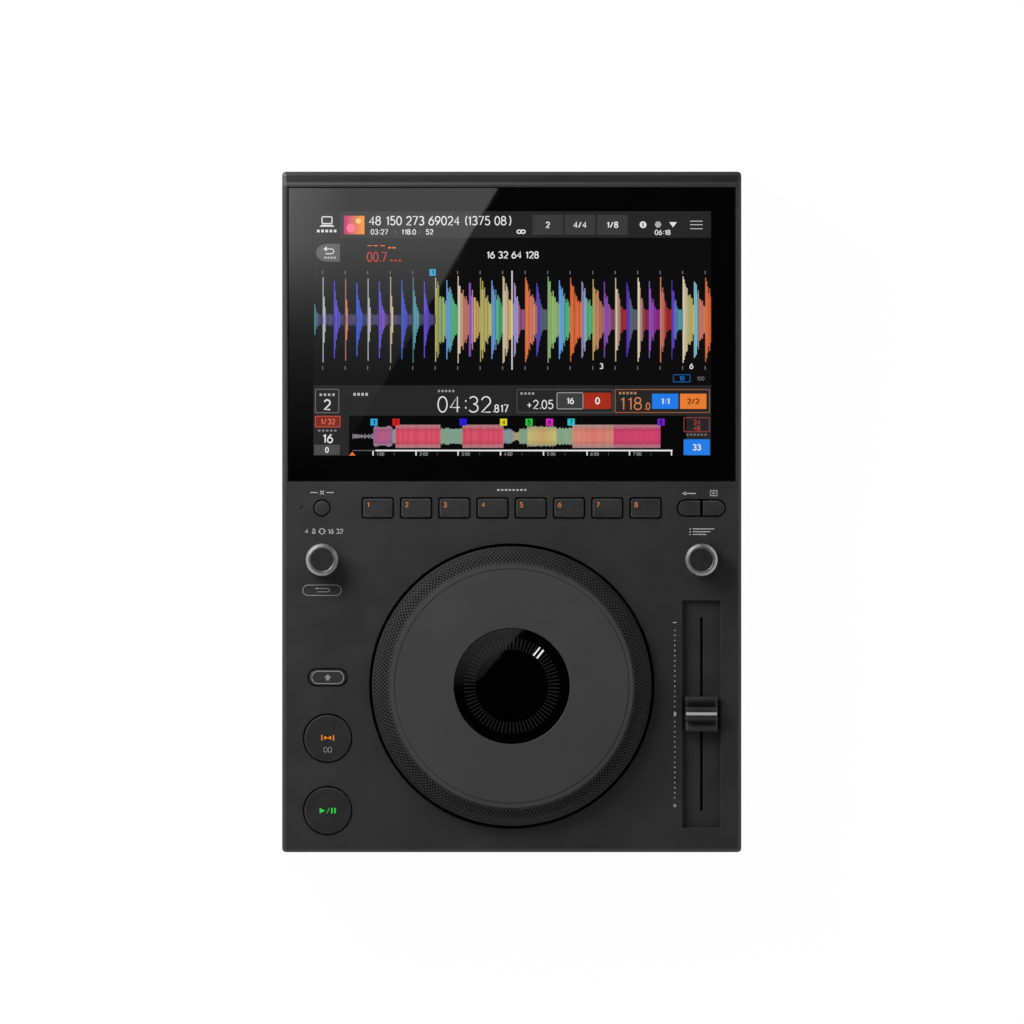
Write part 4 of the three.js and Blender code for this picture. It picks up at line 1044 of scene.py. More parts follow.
class Picture:
    """Draws tiles, frames, lines and numbers in dots."""

    def __init__(self):
        self.build = Build(place=on_glass)

    def heights(self, layer):
        return (-SUNK, BASE_LAYER + LAYER * layer)

    def outline(self, left, top, right, bottom, radius):
        if radius == 0:
            return rect(left, -bottom, right, -top)
        middle = ((left + right) / 2, -(top + bottom) / 2)
        return rounded(*middle, right - left, bottom - top, radius, 3)

    def tile(self, left, top, right, bottom, tint, layer=1, radius=0.0):
        placed = self.outline(left, top, right, bottom, radius)
        self.build.prism(placed, *self.heights(layer), tint)

    def dashes(self, count, step, left, top, right, bottom, tint):
        """A row of small tiles that stands for a small label."""
        for dash in range(count):
            aside = dash * step
            self.tile(left + aside, top, right + aside, bottom, tint, layer=3)

    def frame(self, left, top, right, bottom, tint, layer=2, weight=0.9, radius=1.2):
        placed = self.outline(left, top, right, bottom, radius)
        self.build.ribbon(placed, weight, *self.heights(layer), tint, closed=True)

    def line(self, points, tint, weight=0.8, layer=3, closed=False):
        placed = [(column, -row) for column, row in points]
        self.build.ribbon(placed, weight, *self.heights(layer), tint, closed)

    def shape(self, points, tint, layer=3):
        self.build.prism([(column, -row) for column, row in points], *self.heights(layer), tint)

    def digits(self, text, left, top, bottom, tint, weight=1.0, layer=3, narrow=1.0):
        write(self.build, text, left, -bottom, bottom - top, weight, *self.heights(layer), tint,
              narrow=narrow)

    def middle_digits(self, text, column, row, height, tint, weight=1.0, layer=3, narrow=1.0):
        write(self.build, text, column, -row, height, weight, *self.heights(layer), tint,
              middle=True, narrow=narrow)


def tint(red, green, blue):
    return colour(red, green, blue)[:3]


def blend(first, second, share):
    return tuple(a + (b - a) * share for a, b in zip(first, second))


picture = Picture()
WHITE, PANEL, KEY = tint(225, 225, 225), tint(38, 38, 38), tint(58, 58, 58)
BLUE_KEY, AMBER_LINE = tint(34, 126, 235), tint(232, 120, 50)
picture.tile(0, 0, COLUMNS, ROWS, tint(9, 9, 9), layer=0)
print("lit area in mm:", round(COLUMNS * DOT_WIDTH, 1), "x", round(ROWS * DOT_LENGTH, 1))

# %% [markdown]
# The upper bar holds a small computer icon, a colour tile, rows of plain numbers, three keys and
# a few status icons. An image texture would be quicker, but tiles stay sharp at any distance and
# need no file.

# %% The upper bar
picture.tile(26.6, 0, COLUMNS, 26.4, PANEL)
picture.frame(8.6, 5.5, 18.6, 12.2, WHITE, weight=1.1, radius=1.0)
picture.shape([(6.0, 15.4), (8.4, 13.4), (18.8, 13.4), (21.2, 15.4)], WHITE)
picture.dashes(5, 4.2, 3.6, 18.4, 6.2, 21.0, WHITE)
BANDS, BAND_WIDTH = 6, 3.4
for band in range(BANDS):
    shade = blend(tint(196, 44, 110), tint(244, 150, 52), band / (BANDS - 1))
    left = 30.6 + band * BAND_WIDTH
    picture.tile(left, 4.5, left + BAND_WIDTH, 23.0, shade, layer=2)
picture.shape(disc(37.4, 16.6, 4.4, 20), tint(255, 120, 150), layer=3)
picture.shape(disc(45.0, 9.6, 2.6, 16), tint(255, 206, 120), layer=3)
picture.digits("48 150 273 69024 (1375 08)", 56.0, 5.2, 13.6, WHITE, weight=1.15, narrow=0.92)
for text, left in (("03:27", 57.6), ("118.0", 88.0), ("52", 112.6)):
    picture.digits(text, left, 18.2, 23.0, WHITE, weight=0.85)
for column in (81.6, 106.6):
    picture.line([(column, 18.6), (column, 22.6)], tint(90, 90, 90))
for column in (205.8, 209.6):
    picture.line(oval(column, 20.4, 2.2, 1.7, 12), WHITE, 1.2, closed=True)
for left, right, text in ((219.0, 249.6, "2"), (251.0, 282.0, "4/4"), (283.6, 314.0, "1/8")):
    picture.tile(left, 3.5, right, 23.5, KEY, layer=2, radius=1.6)
    picture.middle_digits(text, (left + right) / 2, 13.5, 5.4, WHITE, weight=1.2)
picture.shape(disc(329.6, 13.4, 3.4, 16), WHITE)
picture.tile(329.0, 11.4, 330.2, 15.4, PANEL, layer=4)
picture.shape(disc(344.6, 13.2, 3.4, 6), tint(170, 170, 170))
picture.shape([(355.8, 10.8), (363.4, 10.8), (359.6, 16.0)], WHITE)
picture.digits("06:18", 341.6, 18.8, 23.4, WHITE, weight=0.85)
for row in (9.9, 13.4, 17.4):
    picture.line([(376.6, row), (389.2, row)], tint(200, 200, 200), 0.75)
print("upper bar:", len(picture.build.faces), "faces so far")

# %% [markdown]
# Below it are the return key and two short rows of numbers. The key is half an oval joined to a
# rectangle, because it grows out of the display's left edge like a tab.

# %% The return key and the loop numbers
RETURN_KEY = tint(89, 89, 89)
picture.shape(bow(14.0, 41.4, 11.4, 9.0, 90, 270, 12), RETURN_KEY, layer=2)
picture.tile(14.0, 32.4, 26.6, 50.4, RETURN_KEY, layer=2)
bend = bow(18.0, 40.0, 2.4, 2.4, -90, 90, 6)
picture.line([(12.4, 37.6)] + bend + [(12.0, 42.4)], WHITE, 0.9)
picture.shape([(13.4, 35.0), (13.4, 40.2), (10.0, 37.6)], WHITE)
picture.dashes(4, 3.1, 11.0, 45.4, 13.0, 47.2, tint(190, 190, 190))
for left in (54.0, 60.0, 67.0):
    picture.line([(left, 34.4), (left + 4.4, 34.4)], AMBER_LINE, 0.9)
for left in (74.6, 79.0):
    picture.line([(left, 36.4), (left + 3.2, 36.4)], AMBER_LINE, 1.4)
picture.digits("00.7", 53.8, 41.0, 50.2, tint(214, 52, 44), weight=1.0, narrow=0.82)
for left in (76.6, 80.8, 85.0):
    picture.line([(left, 49.2), (left + 2.6, 49.2)], tint(190, 50, 44), 1.6)
picture.middle_digits("16 32 64 128", 199.0, 43.6, 6.4, WHITE, weight=1.1)
print("return key:", len(picture.build.faces), "faces so far")

# %% [markdown]
# The large waveform is a row of one-dot columns. The music comes in half beats: each starts with
# a tall hit and falls away, and its two colours tell which instruments sound. The left part is
# sparse, so its hits stand alone.

# %% The large waveform
PALETTE = {
    "white": tint(196, 196, 206), "violet": tint(98, 82, 206), "blue": tint(66, 96, 214),
    "sky": tint(104, 150, 220), "teal": tint(88, 156, 168), "green": tint(84, 178, 122),
    "lime": tint(150, 190, 118), "khaki": tint(184, 176, 106), "cream": tint(222, 206, 176),
    "tan": tint(196, 164, 98), "salmon": tint(206, 128, 106), "orange": tint(226, 112, 64),
    "red": tint(164, 44, 56), "crimson": tint(150, 44, 84), "magenta": tint(150, 44, 150),
    "purple": tint(142, 86, 190), "mauve": tint(150, 88, 132), "indigo": tint(92, 64, 190),
    "slate": tint(96, 104, 116), "dusk": tint(78, 76, 104), "cyan": tint(132, 192, 206),
    "lilac": tint(168, 158, 214), "rose": tint(196, 62, 92),
}
sparse_hits = ["teal slate", "white slate", "violet violet", "salmon mauve", "blue blue",
               "white slate", "violet purple", "cream salmon", "blue violet", "teal teal",
               "violet indigo"]
dense_hits = ["khaki lime", "sky green", "cream salmon", "purple tan", "khaki khaki", "sky green",
              "cream tan", "lilac mauve", "orange salmon", "violet slate", "lime lime",
              "sky green", "orange orange", "lilac green", "tan salmon", "purple mauve",
              "cream red", "indigo slate", "cream crimson", "purple magenta", "salmon red",
              "indigo teal", "cream khaki", "cyan salmon", "orange orange"]
THIN_HITS = ("white", "cream", "salmon")
QUICK_TAILS = ("mauve", "red", "slate", "crimson", "magenta", "teal")
FIRST_HIT = -2.05
HIT_PITCH = 11.25
FULL_BEAT, HALF_BEAT = 44.0, 40.0
QUIET_REACH = 6.6
QUIET_SHADE = tint(74, 72, 112)
WAVE_ROW = 108.4
music = random.Random(7)


def wave_column(column, reach, shade, row=WAVE_ROW, layer=1):
    """One column of a waveform, one dot wide, about the row of silence."""
    picture.tile(column, row - reach, min(column + 1.0, COLUMNS), row + reach, shade, layer)


def falling_reach(pair, sparse, dot, tall):
    """How far a column reaches, some dots after its hit."""
    if sparse:
        fall = math.exp(-dot / (1.6 if pair.startswith(THIN_HITS) else 3.2))
        return max(4.0 + 2.5 * music.random(), tall * fall * (0.9 + 0.16 * music.random()))
    fall = math.exp(-dot / (5.5 if pair.endswith(QUICK_TAILS) else 11.0))
    return max(10.0, tall * fall * (0.78 + 0.34 * music.random()))


for index, pair in enumerate(sparse_hits + dense_hits):
    hit_shade, tail_shade = (PALETTE[name] for name in pair.split())
    sparse = index < len(sparse_hits)
    tall = (FULL_BEAT if index % 2 == 1 else HALF_BEAT) - 3.5 * music.random()
    for dot in range(math.ceil(HIT_PITCH)):
        column = FIRST_HIT + HIT_PITCH * index + dot
        if column < 0 or column + 0.2 > COLUMNS:
            continue
        reach = min(tall, falling_reach(pair, sparse, dot, tall))
        if dot == 0:
            reach = tall
        share = min(1.0, max(0.0, (dot - 1.5) / 4.0 + 0.5 * (music.random() - 0.5)))
        shade = blend(hit_shade, tail_shade, share)
        dim = 0.55 + 0.5 * music.random()
        if sparse and reach <= QUIET_REACH:
            shade = QUIET_SHADE
        wave_column(column, reach, tuple(dim * part for part in shade))
for beat in range(1, len(sparse_hits + dense_hits) + 1, 2):
    column = FIRST_HIT + HIT_PITCH * beat
    if column < COLUMNS:
        for top, bottom in ((59.6, 62.9), (154.8, 158.4)):
            picture.line([(column, top), (column, bottom)], tint(120, 120, 120), 0.8)
picture.line([(198.6, 59.4), (198.6, 158.4)], tint(200, 200, 200), 1.4, layer=3)
picture.tile(116.0, 57.8, 122.4, 64.4, tint(44, 164, 220), layer=3)
picture.middle_digits("1", 119.2, 61.1, 4.0, tint(10, 40, 70), weight=0.9, layer=4)
for text, column in (("3", 288.0), ("6", 378.0)):
    picture.middle_digits(text, column, 154.8, 5.0, WHITE, weight=1.0)
picture.frame(360.0, 163.4, 376.6, 170.6, tint(24, 90, 160), weight=0.8, radius=0.6)
picture.middle_digits("10", 368.3, 167.0, 4.0, tint(30, 110, 190), weight=0.8)
picture.middle_digits("100", 387.0, 167.2, 3.6, tint(110, 110, 110), weight=0.6)
print(len(sparse_hits + dense_hits), "hits,", len(picture.build.faces), "faces so far")

# %% [markdown]
# The information bar shows the elapsed time, the tempo and the speed of the music. Small labels
# are drawn as rows of dashes: at the size of a real display they are too small to read, and the
# dashes give the picture the same weight.

# %% The information bar
picture.tile(0, 174.0, COLUMNS, 204.4, PANEL)
picture.frame(2.0, 178.0, 25.4, 201.4, tint(110, 110, 110), weight=0.8, radius=0.8)
picture.middle_digits("2", 13.8, 193.4, 9.6, WHITE, weight=1.5)
picture.dashes(4, 4.2, 6.2, 182.2, 8.6, 184.6, tint(180, 180, 180))
picture.dashes(4, 4.0, 40.0, 181.6, 42.4, 184.4, tint(190, 190, 190))
picture.dashes(5, 3.6, 124.4, 178.6, 126.6, 180.8, tint(150, 150, 150))
picture.digits("04:32", 124.6, 185.4, 200.8, WHITE, weight=1.25, narrow=0.98)
picture.digits(".817", 179.4, 193.6, 200.8, WHITE, weight=1.1, narrow=0.9)
picture.frame(203.6, 178.2, 299.6, 201.2, tint(75, 75, 75), weight=0.8, radius=0.8)
picture.dashes(4, 3.8, 207.0, 181.0, 209.4, 183.4, tint(150, 150, 150))
picture.digits("+2.05", 213.6, 189.0, 197.4, WHITE, weight=1.0, narrow=0.92)
picture.tile(243.6, 181.4, 269.6, 197.6, tint(60, 60, 60), layer=2, radius=1.2)
picture.frame(243.6, 181.4, 269.6, 197.6, tint(150, 150, 150), layer=3, weight=0.9)
picture.middle_digits("16", 256.6, 189.5, 5.6, WHITE, weight=1.1)
picture.tile(270.6, 181.4, 297.6, 197.6, tint(164, 44, 26), layer=2, radius=1.2)
picture.middle_digits("0", 284.1, 189.5, 6.0, WHITE, weight=1.3)
picture.frame(301.8, 178.2, 396.0, 201.2, tint(150, 90, 60), weight=0.9, radius=0.8)
picture.dashes(5, 3.8, 305.4, 180.6, 307.8, 183.0, tint(170, 130, 100))
TEMPO_TINT = tint(214, 126, 74)
picture.digits("118", 306.2, 186.4, 198.2, TEMPO_TINT, weight=1.2)
picture.digits(".0", 331.0, 191.6, 198.2, TEMPO_TINT, weight=1.0, narrow=0.9)
picture.tile(338.6, 182.4, 364.8, 197.6, BLUE_KEY, layer=2, radius=0.8)
picture.middle_digits("1:1", 351.7, 190.0, 5.6, WHITE, weight=1.2)
picture.tile(366.6, 182.4, 393.0, 197.6, tint(240, 128, 52), layer=2, radius=0.8)
picture.middle_digits("2/2", 379.8, 190.0, 5.0, tint(90, 40, 16), weight=1.1)
print("information bar:", len(picture.build.faces), "faces so far")

# %% [markdown]
# The lowest strip shows the whole piece at a glance, with coloured markers and a ruler of time,
# between two short columns of keys.

# %% The side columns
picture.tile(0, 204.4, 35.6, ROWS, PANEL)
picture.tile(373.0, 204.4, COLUMNS, ROWS, PANEL)
picture.tile(2.0, 205.0, 26.6, 215.6, tint(120, 44, 34), layer=2)
picture.frame(2.0, 205.0, 26.6, 215.6, tint(190, 78, 56), layer=3, weight=0.9, radius=0.6)
picture.middle_digits("1/32", 14.3, 210.3, 5.0, tint(222, 110, 84), weight=0.9, layer=4)
picture.dashes(5, 4.0, 4.6, 218.4, 7.0, 220.2, tint(130, 130, 130))
picture.middle_digits("16", 14.0, 227.2, 8.2, WHITE, weight=1.3)
picture.tile(0.6, 233.4, 26.4, 243.6, tint(75, 75, 75), layer=2)
picture.middle_digits("0", 13.5, 238.6, 4.8, WHITE, weight=1.1)
picture.frame(370.6, 206.4, 396.0, 220.4, tint(140, 60, 50), layer=3, weight=0.9, radius=0.6)
for text, row in (("24", 211.0), ("48", 216.8)):
    picture.middle_digits(text, 383.4, row, 4.4, tint(176, 58, 48), weight=0.9)
picture.dashes(6, 3.6, 373.0, 222.4, 375.2, 224.4, tint(110, 110, 110))
picture.tile(370.2, 228.0, 396.4, 243.8, BLUE_KEY, layer=2, radius=0.8)
picture.middle_digits("33", 383.3, 236.0, 5.4, WHITE, weight=1.2)
print("side columns:", len(picture.build.faces), "faces so far")

# %% [markdown]
# The overview is the waveform of the whole piece, pressed into one strip. Its parts are listed
# with their height and their two colours, and a sine wave keeps the columns inside a part from
# looking alike. Brighter columns lie on top of the pale ones, as a loud core does.

# %% The whole piece at a glance
OVERVIEW_ROW = 225.0
SMOOTH_REACH, CORED_REACH = 11.0, 10.0
picture.tile(35.6, 204.4, 373.0, ROWS, tint(3, 3, 3))
piece_parts = [
    (39, 60, 2.6, "dusk dusk"), (60, 79, 10.6, "mauve slate"), (79, 82, 8.0, "teal green"),
    (82, 127, 11.6, "rose salmon"), (127, 149, 8.6, "green teal"),
    (149, 190, 11.6, "rose salmon"), (190, 199, 7.6, "teal slate"),
    (199, 206, 5.2, "khaki slate"), (206, 214, 8.6, "green lime"), (214, 243, 10.6, "khaki lime"),
    (243, 259, 9.0, "green lime"), (259, 300, 11.6, "salmon slate"),
    (300, 347, 11.6, "rose magenta"),
]
for left, right, reach, names in piece_parts:
    first, second = (PALETTE[name] for name in names.split())
    for column in range(left, right):
        wave = 0.5 + 0.5 * math.sin(column * 0.9 + 2.0 * math.sin(column * 0.21))
        middle = 1.0 - abs(2.0 * (column - left) / (right - left) - 1.0)
        edge_shade = blend(blend(first, second, 0.35 * wave), tint(150, 140, 140), 0.55)
        core_shade = blend(blend(first, second, 0.22 * wave), tint(200, 74, 96), 0.35 * middle)
        rough_edge = 0.0 if reach > SMOOTH_REACH else 1.8 * music.random()
        wave_column(column, reach - rough_edge, edge_shade, OVERVIEW_ROW, 2)
        if reach > CORED_REACH:
            core_reach = reach * (0.66 + 0.1 * music.random())
            bright_shade = tuple(1.15 * part for part in core_shade)
            wave_column(column, core_reach, core_shade, OVERVIEW_ROW, 3)
            wave_column(column, core_reach * 0.6, bright_shade, OVERVIEW_ROW, 4)
markers = [
    (60.6, tint(44, 164, 220)), (82.6, tint(220, 30, 36)), (149.6, tint(40, 30, 230)),
    (190.1, tint(220, 210, 40)), (215.6, tint(30, 200, 60)), (236.1, tint(220, 40, 200)),
    (257.6, tint(40, 190, 200)), (347.6, tint(120, 30, 210)),
]
for number, (column, flag) in enumerate(markers, start=1):
    picture.tile(column - 3.5, 207.4, column + 3.5, 214.2, flag, layer=4)
    picture.middle_digits(str(number), column, 210.8, 4.2, tint(20, 20, 20), weight=0.9, layer=5)
picture.line([(39.0, 239.2), (62.0, 239.2)], tint(90, 90, 90), 0.9)
picture.line([(62.0, 239.2), (359.0, 239.2)], tint(235, 235, 235), 1.5)
picture.shape([(38.8, 240.6), (42.0, 244.2), (35.8, 244.2)], tint(240, 120, 40), layer=4)
minute_columns = [59.6, 102.6, 144.6, 187.1, 230.1, 273.6, 316.1, 358.1]
for minute, column in enumerate(minute_columns, start=1):
    picture.line([(column, 239.6), (column, 244.2)], WHITE, 1.3)
    if column != minute_columns[-1]:
        label, half = column + 3.6, column + 21.4
        picture.digits(f"{minute}:00", label, 241.2, 244.2, tint(150, 150, 150), weight=0.5)
        picture.line([(half, 241.6), (half, 244.0)], tint(70, 70, 70), 0.7)
print("picture:", len(picture.build.faces), "faces")

# %% [markdown]
# The picture glows by itself and still mirrors the room as the glass does. A slight unevenness
# of the back light keeps large tiles alive.

# %% The picture's finish
shine = Finish("picture_light")
tile_tint = shine.add("VertexColor", {"layer_name": "tint"}).outputs["Color"]
back_light = shine.spread(shine.noise(45.0, 2.0), 0.93, 1.05)
grain_light = shine.spread(shine.noise(0.4, 1.0), 0.94, 1.04)
level = shine.maths("MULTIPLY", back_light, grain_light)
level_colour = shine.add("CombineColor", Red=level, Green=level, Blue=level).outputs["Color"]
film_bump = shine.add("Bump", Height=shine.noise(1.5, 3.0), Strength=0.04, Distance=0.01 * MM)
film = shine.add(
    "BsdfPrincipled",
    Base_Color=(0.002, 0.002, 0.002, 1.0),
    Roughness=shine.spread(shine.noise(40.0, 4.0), *MIRROR_ROUGH),
    Normal=film_bump.outputs["Normal"],
    IOR=1.5,
    Emission_Color=shine.times(tile_tint, level_colour),
    Emission_Strength=1.0,
)
picture_light = shine.end(film)
picture.build.piece("display_picture", picture_light, "chassis")
print("the picture wears", picture_light.name)

# %% [markdown]
# ## The rear panel
#
# The sockets sit in a recess at the back. Their bodies are CAD solids; here they get the parts
# that make a socket believable: plated sleeves and coloured rings on the round ones, contacts in
# the flat ones, pins in the inlet. A second place function turns the drawing plane upright: up
# stays up, and the height of a prism points out of the back.

# %% From the drawing plane to the rear panel
PANEL_Y = 176.4975
SHELL_END = box_mm("network_port")[1].y
BARREL_END = box_mm("digital_out")[1].y
RING_TOP, SLEEVE_TOP = BARREL_END + 0.1, BARREL_END + 0.12


def rear_place(x, y, z):
    """Draws on the rear panel: x and y as seen from the front, z out of the back."""
    return (x, z, y)


def under_place(x, y, z):
    """Draws on the underside: z points down."""
    return (x, y, -z)


class MirroredBuild(Build):
    """A build on a mirrored plane: its faces are turned round, so that they point out."""

    def add(self, points, faces, tint=PLAIN):
        super().add(points, [face[::-1] for face in faces], tint)


round_sockets = {
    "digital_out": colour(206, 104, 30), "audio_out_right": colour(170, 24, 28),
    "audio_out_left": colour(206, 206, 202),
}
nickel = moulded("nickel", grey(150), grey(178), patch=2.0, rough=(0.18, 0.3), metallic=1.0)
for socket, ring_colour in round_sockets.items():
    middle = box_mm(socket)[2]
    axis = (middle.x, middle.z)
    sleeve = MirroredBuild(rear_place)
    outer_skin = [
        (4.17, PANEL_Y + 1.35), (4.34, PANEL_Y + 1.35), (4.34, BARREL_END + 0.02),
        (4.24, SLEEVE_TOP), (3.3, SLEEVE_TOP), (3.3, BARREL_END + 0.01), (4.17, BARREL_END + 0.01),
    ]
    sleeve.lathe(outer_skin, 48, axis, ring=True)
    inner_tube = rect(1.05, BARREL_END - 5.8, 1.5, BARREL_END - 0.9)
    sleeve.lathe(inner_tube, 24, axis, ring=True)
    sleeve.piece(socket + "_sleeve", nickel, "chassis", "steel")
    insulator = MirroredBuild(rear_place)
    coloured_ring = [
        (1.66, BARREL_END - 0.05), (3.26, BARREL_END - 0.05), (3.26, BARREL_END + 0.05),
        (3.16, RING_TOP), (1.76, RING_TOP), (1.66, BARREL_END + 0.05),
    ]
    insulator.lathe(coloured_ring, 40, axis, ring=True)
    shade = tuple(0.8 * part for part in ring_colour[:3]) + (1.0,)
    ring_finish = moulded(socket + "_ring", shade, ring_colour, patch=1.5, rough=(0.35, 0.5))
    insulator.piece(socket + "_insulator", ring_finish, "chassis", "black_plastic")
print(len(round_sockets), "round sockets end at y", round(BARREL_END, 2))

# %% [markdown]
# Inside the flat sockets lie gilded contacts, and three blades stand in the inlet. They could be
# left out, since they are small and dark, but an empty socket looks like a hole. They are plain
# prisms, because only their front ends are ever seen. Two small lamps sit under the network
# socket.

# %% Contacts of the flat sockets and pins of the inlet
host, device, network = (box_mm(port)[2] for port in ("host_port", "device_port", "network_port"))
contacts = MirroredBuild(rear_place)


def contact_leaf(x, low_z, high_z, half_width, inner, outer):
    """A flat contact; inner and outer say how deep its ends lie in the socket."""
    leaf = rect(x - half_width, low_z, x + half_width, high_z)
    contacts.prism(leaf, SHELL_END - inner, SHELL_END - outer)


for contact in range(4):
    x = host.x + (contact - 1.5) * 2.5
    contact_leaf(x, host.z - 0.97, host.z - 0.88, 0.55, 9.4, 1.6)
for side in (-1, 1):
    for z in (device.z - 1.62, device.z + 1.62):
        contact_leaf(device.x + side * 1.25, z - 0.05, z + 0.05, 0.5, 8.4, 1.4)
for contact in range(8):
    x = network.x + (contact - 3.5) * 1.02
    contact_leaf(x, network.z + 2.6, network.z + 3.0, 0.2, 12.0, 2.0)
contacts.piece("port_contacts", gold_contact, "chassis", "steel")

inlet = box_mm("power_inlet")[2]
PIN_FLOOR = box_mm("power_inlet")[1].y - 16.0
pins = MirroredBuild(rear_place)
for side, drop in ((-1, 1.8), (0, -1.8), (1, 1.8)):
    blade = rounded(inlet.x + side * 7.0, inlet.z + drop, 2.3, 3.3, 0.4, 3)
    pins.prism(blade, PIN_FLOOR + 0.2, PIN_FLOOR + 12.15)
pins.piece("inlet_pins", nickel, "chassis", "steel")

link_lamp = ink("link_lamp", colour(60, 170, 70), glow=0.3)
busy_lamp = ink("busy_lamp", colour(214, 150, 40), glow=0.3)
for name, finish, side in (("link_window", link_lamp, -1), ("busy_window", busy_lamp, 1)):
    window = MirroredBuild(rear_place)
    pane = rounded(network.x + side * 5.9, network.z - 5.4, 3.0, 1.5, 0.3, 3)
    window.prism(pane, SHELL_END - 0.2, SHELL_END + 0.06)
    window.piece(name, finish, "chassis")
print("contacts, pins and two lamps in place")

# %% [markdown]
# Plain numbers name the sockets, and a line and a ring mark the power key. They are drawn with
# the same ribbons as the deck's numbers, but a number that is read from behind runs the other
# way in x, so its points are mirrored about their middle.

# %% Marks on the rear
rear_marks = MirroredBuild(rear_place)
REAR_SUNK = 0.02
LABEL_Z, LABEL_HEIGHT, LABEL_WEIGHT = 55.0, 2.4, 0.384
RULE_Z, RULE_WEIGHT = 52.9, 0.25
rear_ink = (PANEL_Y - REAR_SUNK, PANEL_Y + INK)


def rear_number(text, x):
    """A numeral that reads from behind, so it runs the other way in x."""
    first = len(rear_marks.points)
    write(rear_marks, text, 0.0, LABEL_Z - LABEL_HEIGHT / 2, LABEL_HEIGHT, LABEL_WEIGHT, *rear_ink)
    points = rear_marks.points[first:]
    middle = (min(p[0] for p in points) + max(p[0] for p in points)) / 2
    rear_marks.points[first:] = [(x + middle - p[0], p[1], p[2]) for p in points]
    for index, face_corners in enumerate(rear_marks.faces):
        if min(face_corners) >= first:
            rear_marks.faces[index] = face_corners[::-1]


for number, socket in zip("456123", ("device_port", "host_port", "network_port",
                                     "audio_out_left", "audio_out_right", "digital_out")):
    rear_number(number, box_mm(socket)[2].x)
for left, right in ((62.0, 94.0), (39.0, 53.0), (-30.5, 28.5)):
    rear_marks.ribbon([(left, RULE_Z), (right, RULE_Z)], RULE_WEIGHT, *rear_ink)
rear_marks.piece("rear_numbers", white_ink, "chassis")

button, button_face = box_mm("power_button")[2], box_mm("power_button")[1].y
button_ink = (button_face - REAR_SUNK, button_face + INK)
power_mark = MirroredBuild(rear_place)
power_line = [(button.x + 2.6, button.z - 1.2), (button.x + 2.6, button.z + 1.2)]
power_mark.ribbon(power_line, 0.4, *button_ink)
power_mark.ribbon(disc(button.x - 2.2, button.z, 1.2, 20), 0.35, *button_ink, closed=True)
power_mark.piece("power_mark", white_ink, "power_button")
print("rear marks stand on y", PANEL_Y)

# %% [markdown]
# ## Screws
#
# Screws hold the rear panel and the tray, and one sits in the hollow of each foot. A head is a
# low dome on a disc; the cross in it is the space between four quarter pieces.

# %% Cross-head screws
SCREW_STEPS = 32
CROSS_HALF = 0.45
SCREW_SUNK = 0.05
OVERLAP = 0.02


def screw_head(build, x, y, radius, surface, height):
    """A head on a surface; its cross opens at the top."""
    low, high = surface - SCREW_SUNK, surface + height
    floor = low + (high - low) * 0.4
    build.prism(disc(x, y, radius, SCREW_STEPS), low, floor)
    inner = radius * 0.62
    shoulder = high - (high - floor) * 0.25
    dome = [(inner, floor - OVERLAP), (radius, floor - OVERLAP), (radius, floor + 0.1),
            (radius * 0.9, shoulder), (inner, high)]
    build.lathe(dome, SCREW_STEPS, (x, y), ring=True)
    turn = math.degrees(math.asin(CROSS_HALF / inner))
    for quarter in range(4):
        start = 90 * quarter + turn
        inward = heading(90 * quarter + 45) * CROSS_HALF * math.sqrt(2)
        outline = arc(x, y, inner + OVERLAP, start, start + 90 - 2 * turn, 8)
        outline.append((x + inward.x, y + inward.y))
        build.prism(outline, floor - OVERLAP, high)


rear_screws = MirroredBuild(rear_place)
for x, z in ((-97.5, 61.0), (97.5, 61.0), (-97.5, 31.0), (97.5, 31.0)):
    screw_head(rear_screws, x, z, 2.4, PANEL_Y, 1.1)
black_screw = moulded("black_screw", grey(70), grey(92), patch=1.5, rough=(0.3, 0.45), metallic=0.7)
rear_screws.piece("rear_screws", black_screw, "chassis", "steel")

TRAY_Z = box_mm("bottom_tray")[0].z
FOOT_ROOF = 2.5
tray_screws = [(x, y) for x in (-112.0, 112.0) for y in (-135.0, 0.0, 135.0)]
under_screws = MirroredBuild(under_place)
for x, y in tray_screws + [(0.0, -172.0), (0.0, 172.0)]:
    screw_head(under_screws, x, y, 2.9, -TRAY_Z, 1.3)
for foot in ("foot_front_left", "foot_front_right", "foot_rear_left", "foot_rear_right"):
    middle = box_mm(foot)[2]
    screw_head(under_screws, middle.x, middle.y, 3.2, -FOOT_ROOF, 1.3)
under_screws.piece("under_screws", black_screw, "chassis", "steel")
print("screws:", len(rear_screws.faces) + len(under_screws.faces), "faces")

# %% [markdown]
# ## Camera, light and floor
#
# The portrait looks straight down, and a lens from far away shows no perspective, so the camera
# is orthographic. Its scale is the width of the picture in metres.

# %% The camera
PICTURE_WIDTH = 0.5597
CAMERA_SPOT = (0.000137, -0.000055, 1.0)
camera_data = bpy.data.cameras.new("camera_top")
camera_data.type = "ORTHO"
camera_data.ortho_scale = PICTURE_WIDTH
camera = bpy.data.objects.new("camera_top", camera_data)
camera.location = CAMERA_SPOT
bpy.context.scene.collection.objects.link(camera)
bpy.context.scene.camera = camera
print("the picture is", PICTURE_WIDTH, "m wide")

# %% [markdown]
# The light is a soft box over the rear left corner and a pale surround. The surround is bright at
# the horizon and dark overhead: black glass seen from above mirrors the dark part and stays
# black, while matt plastic takes its fill from the bright part. The camera itself sees white.

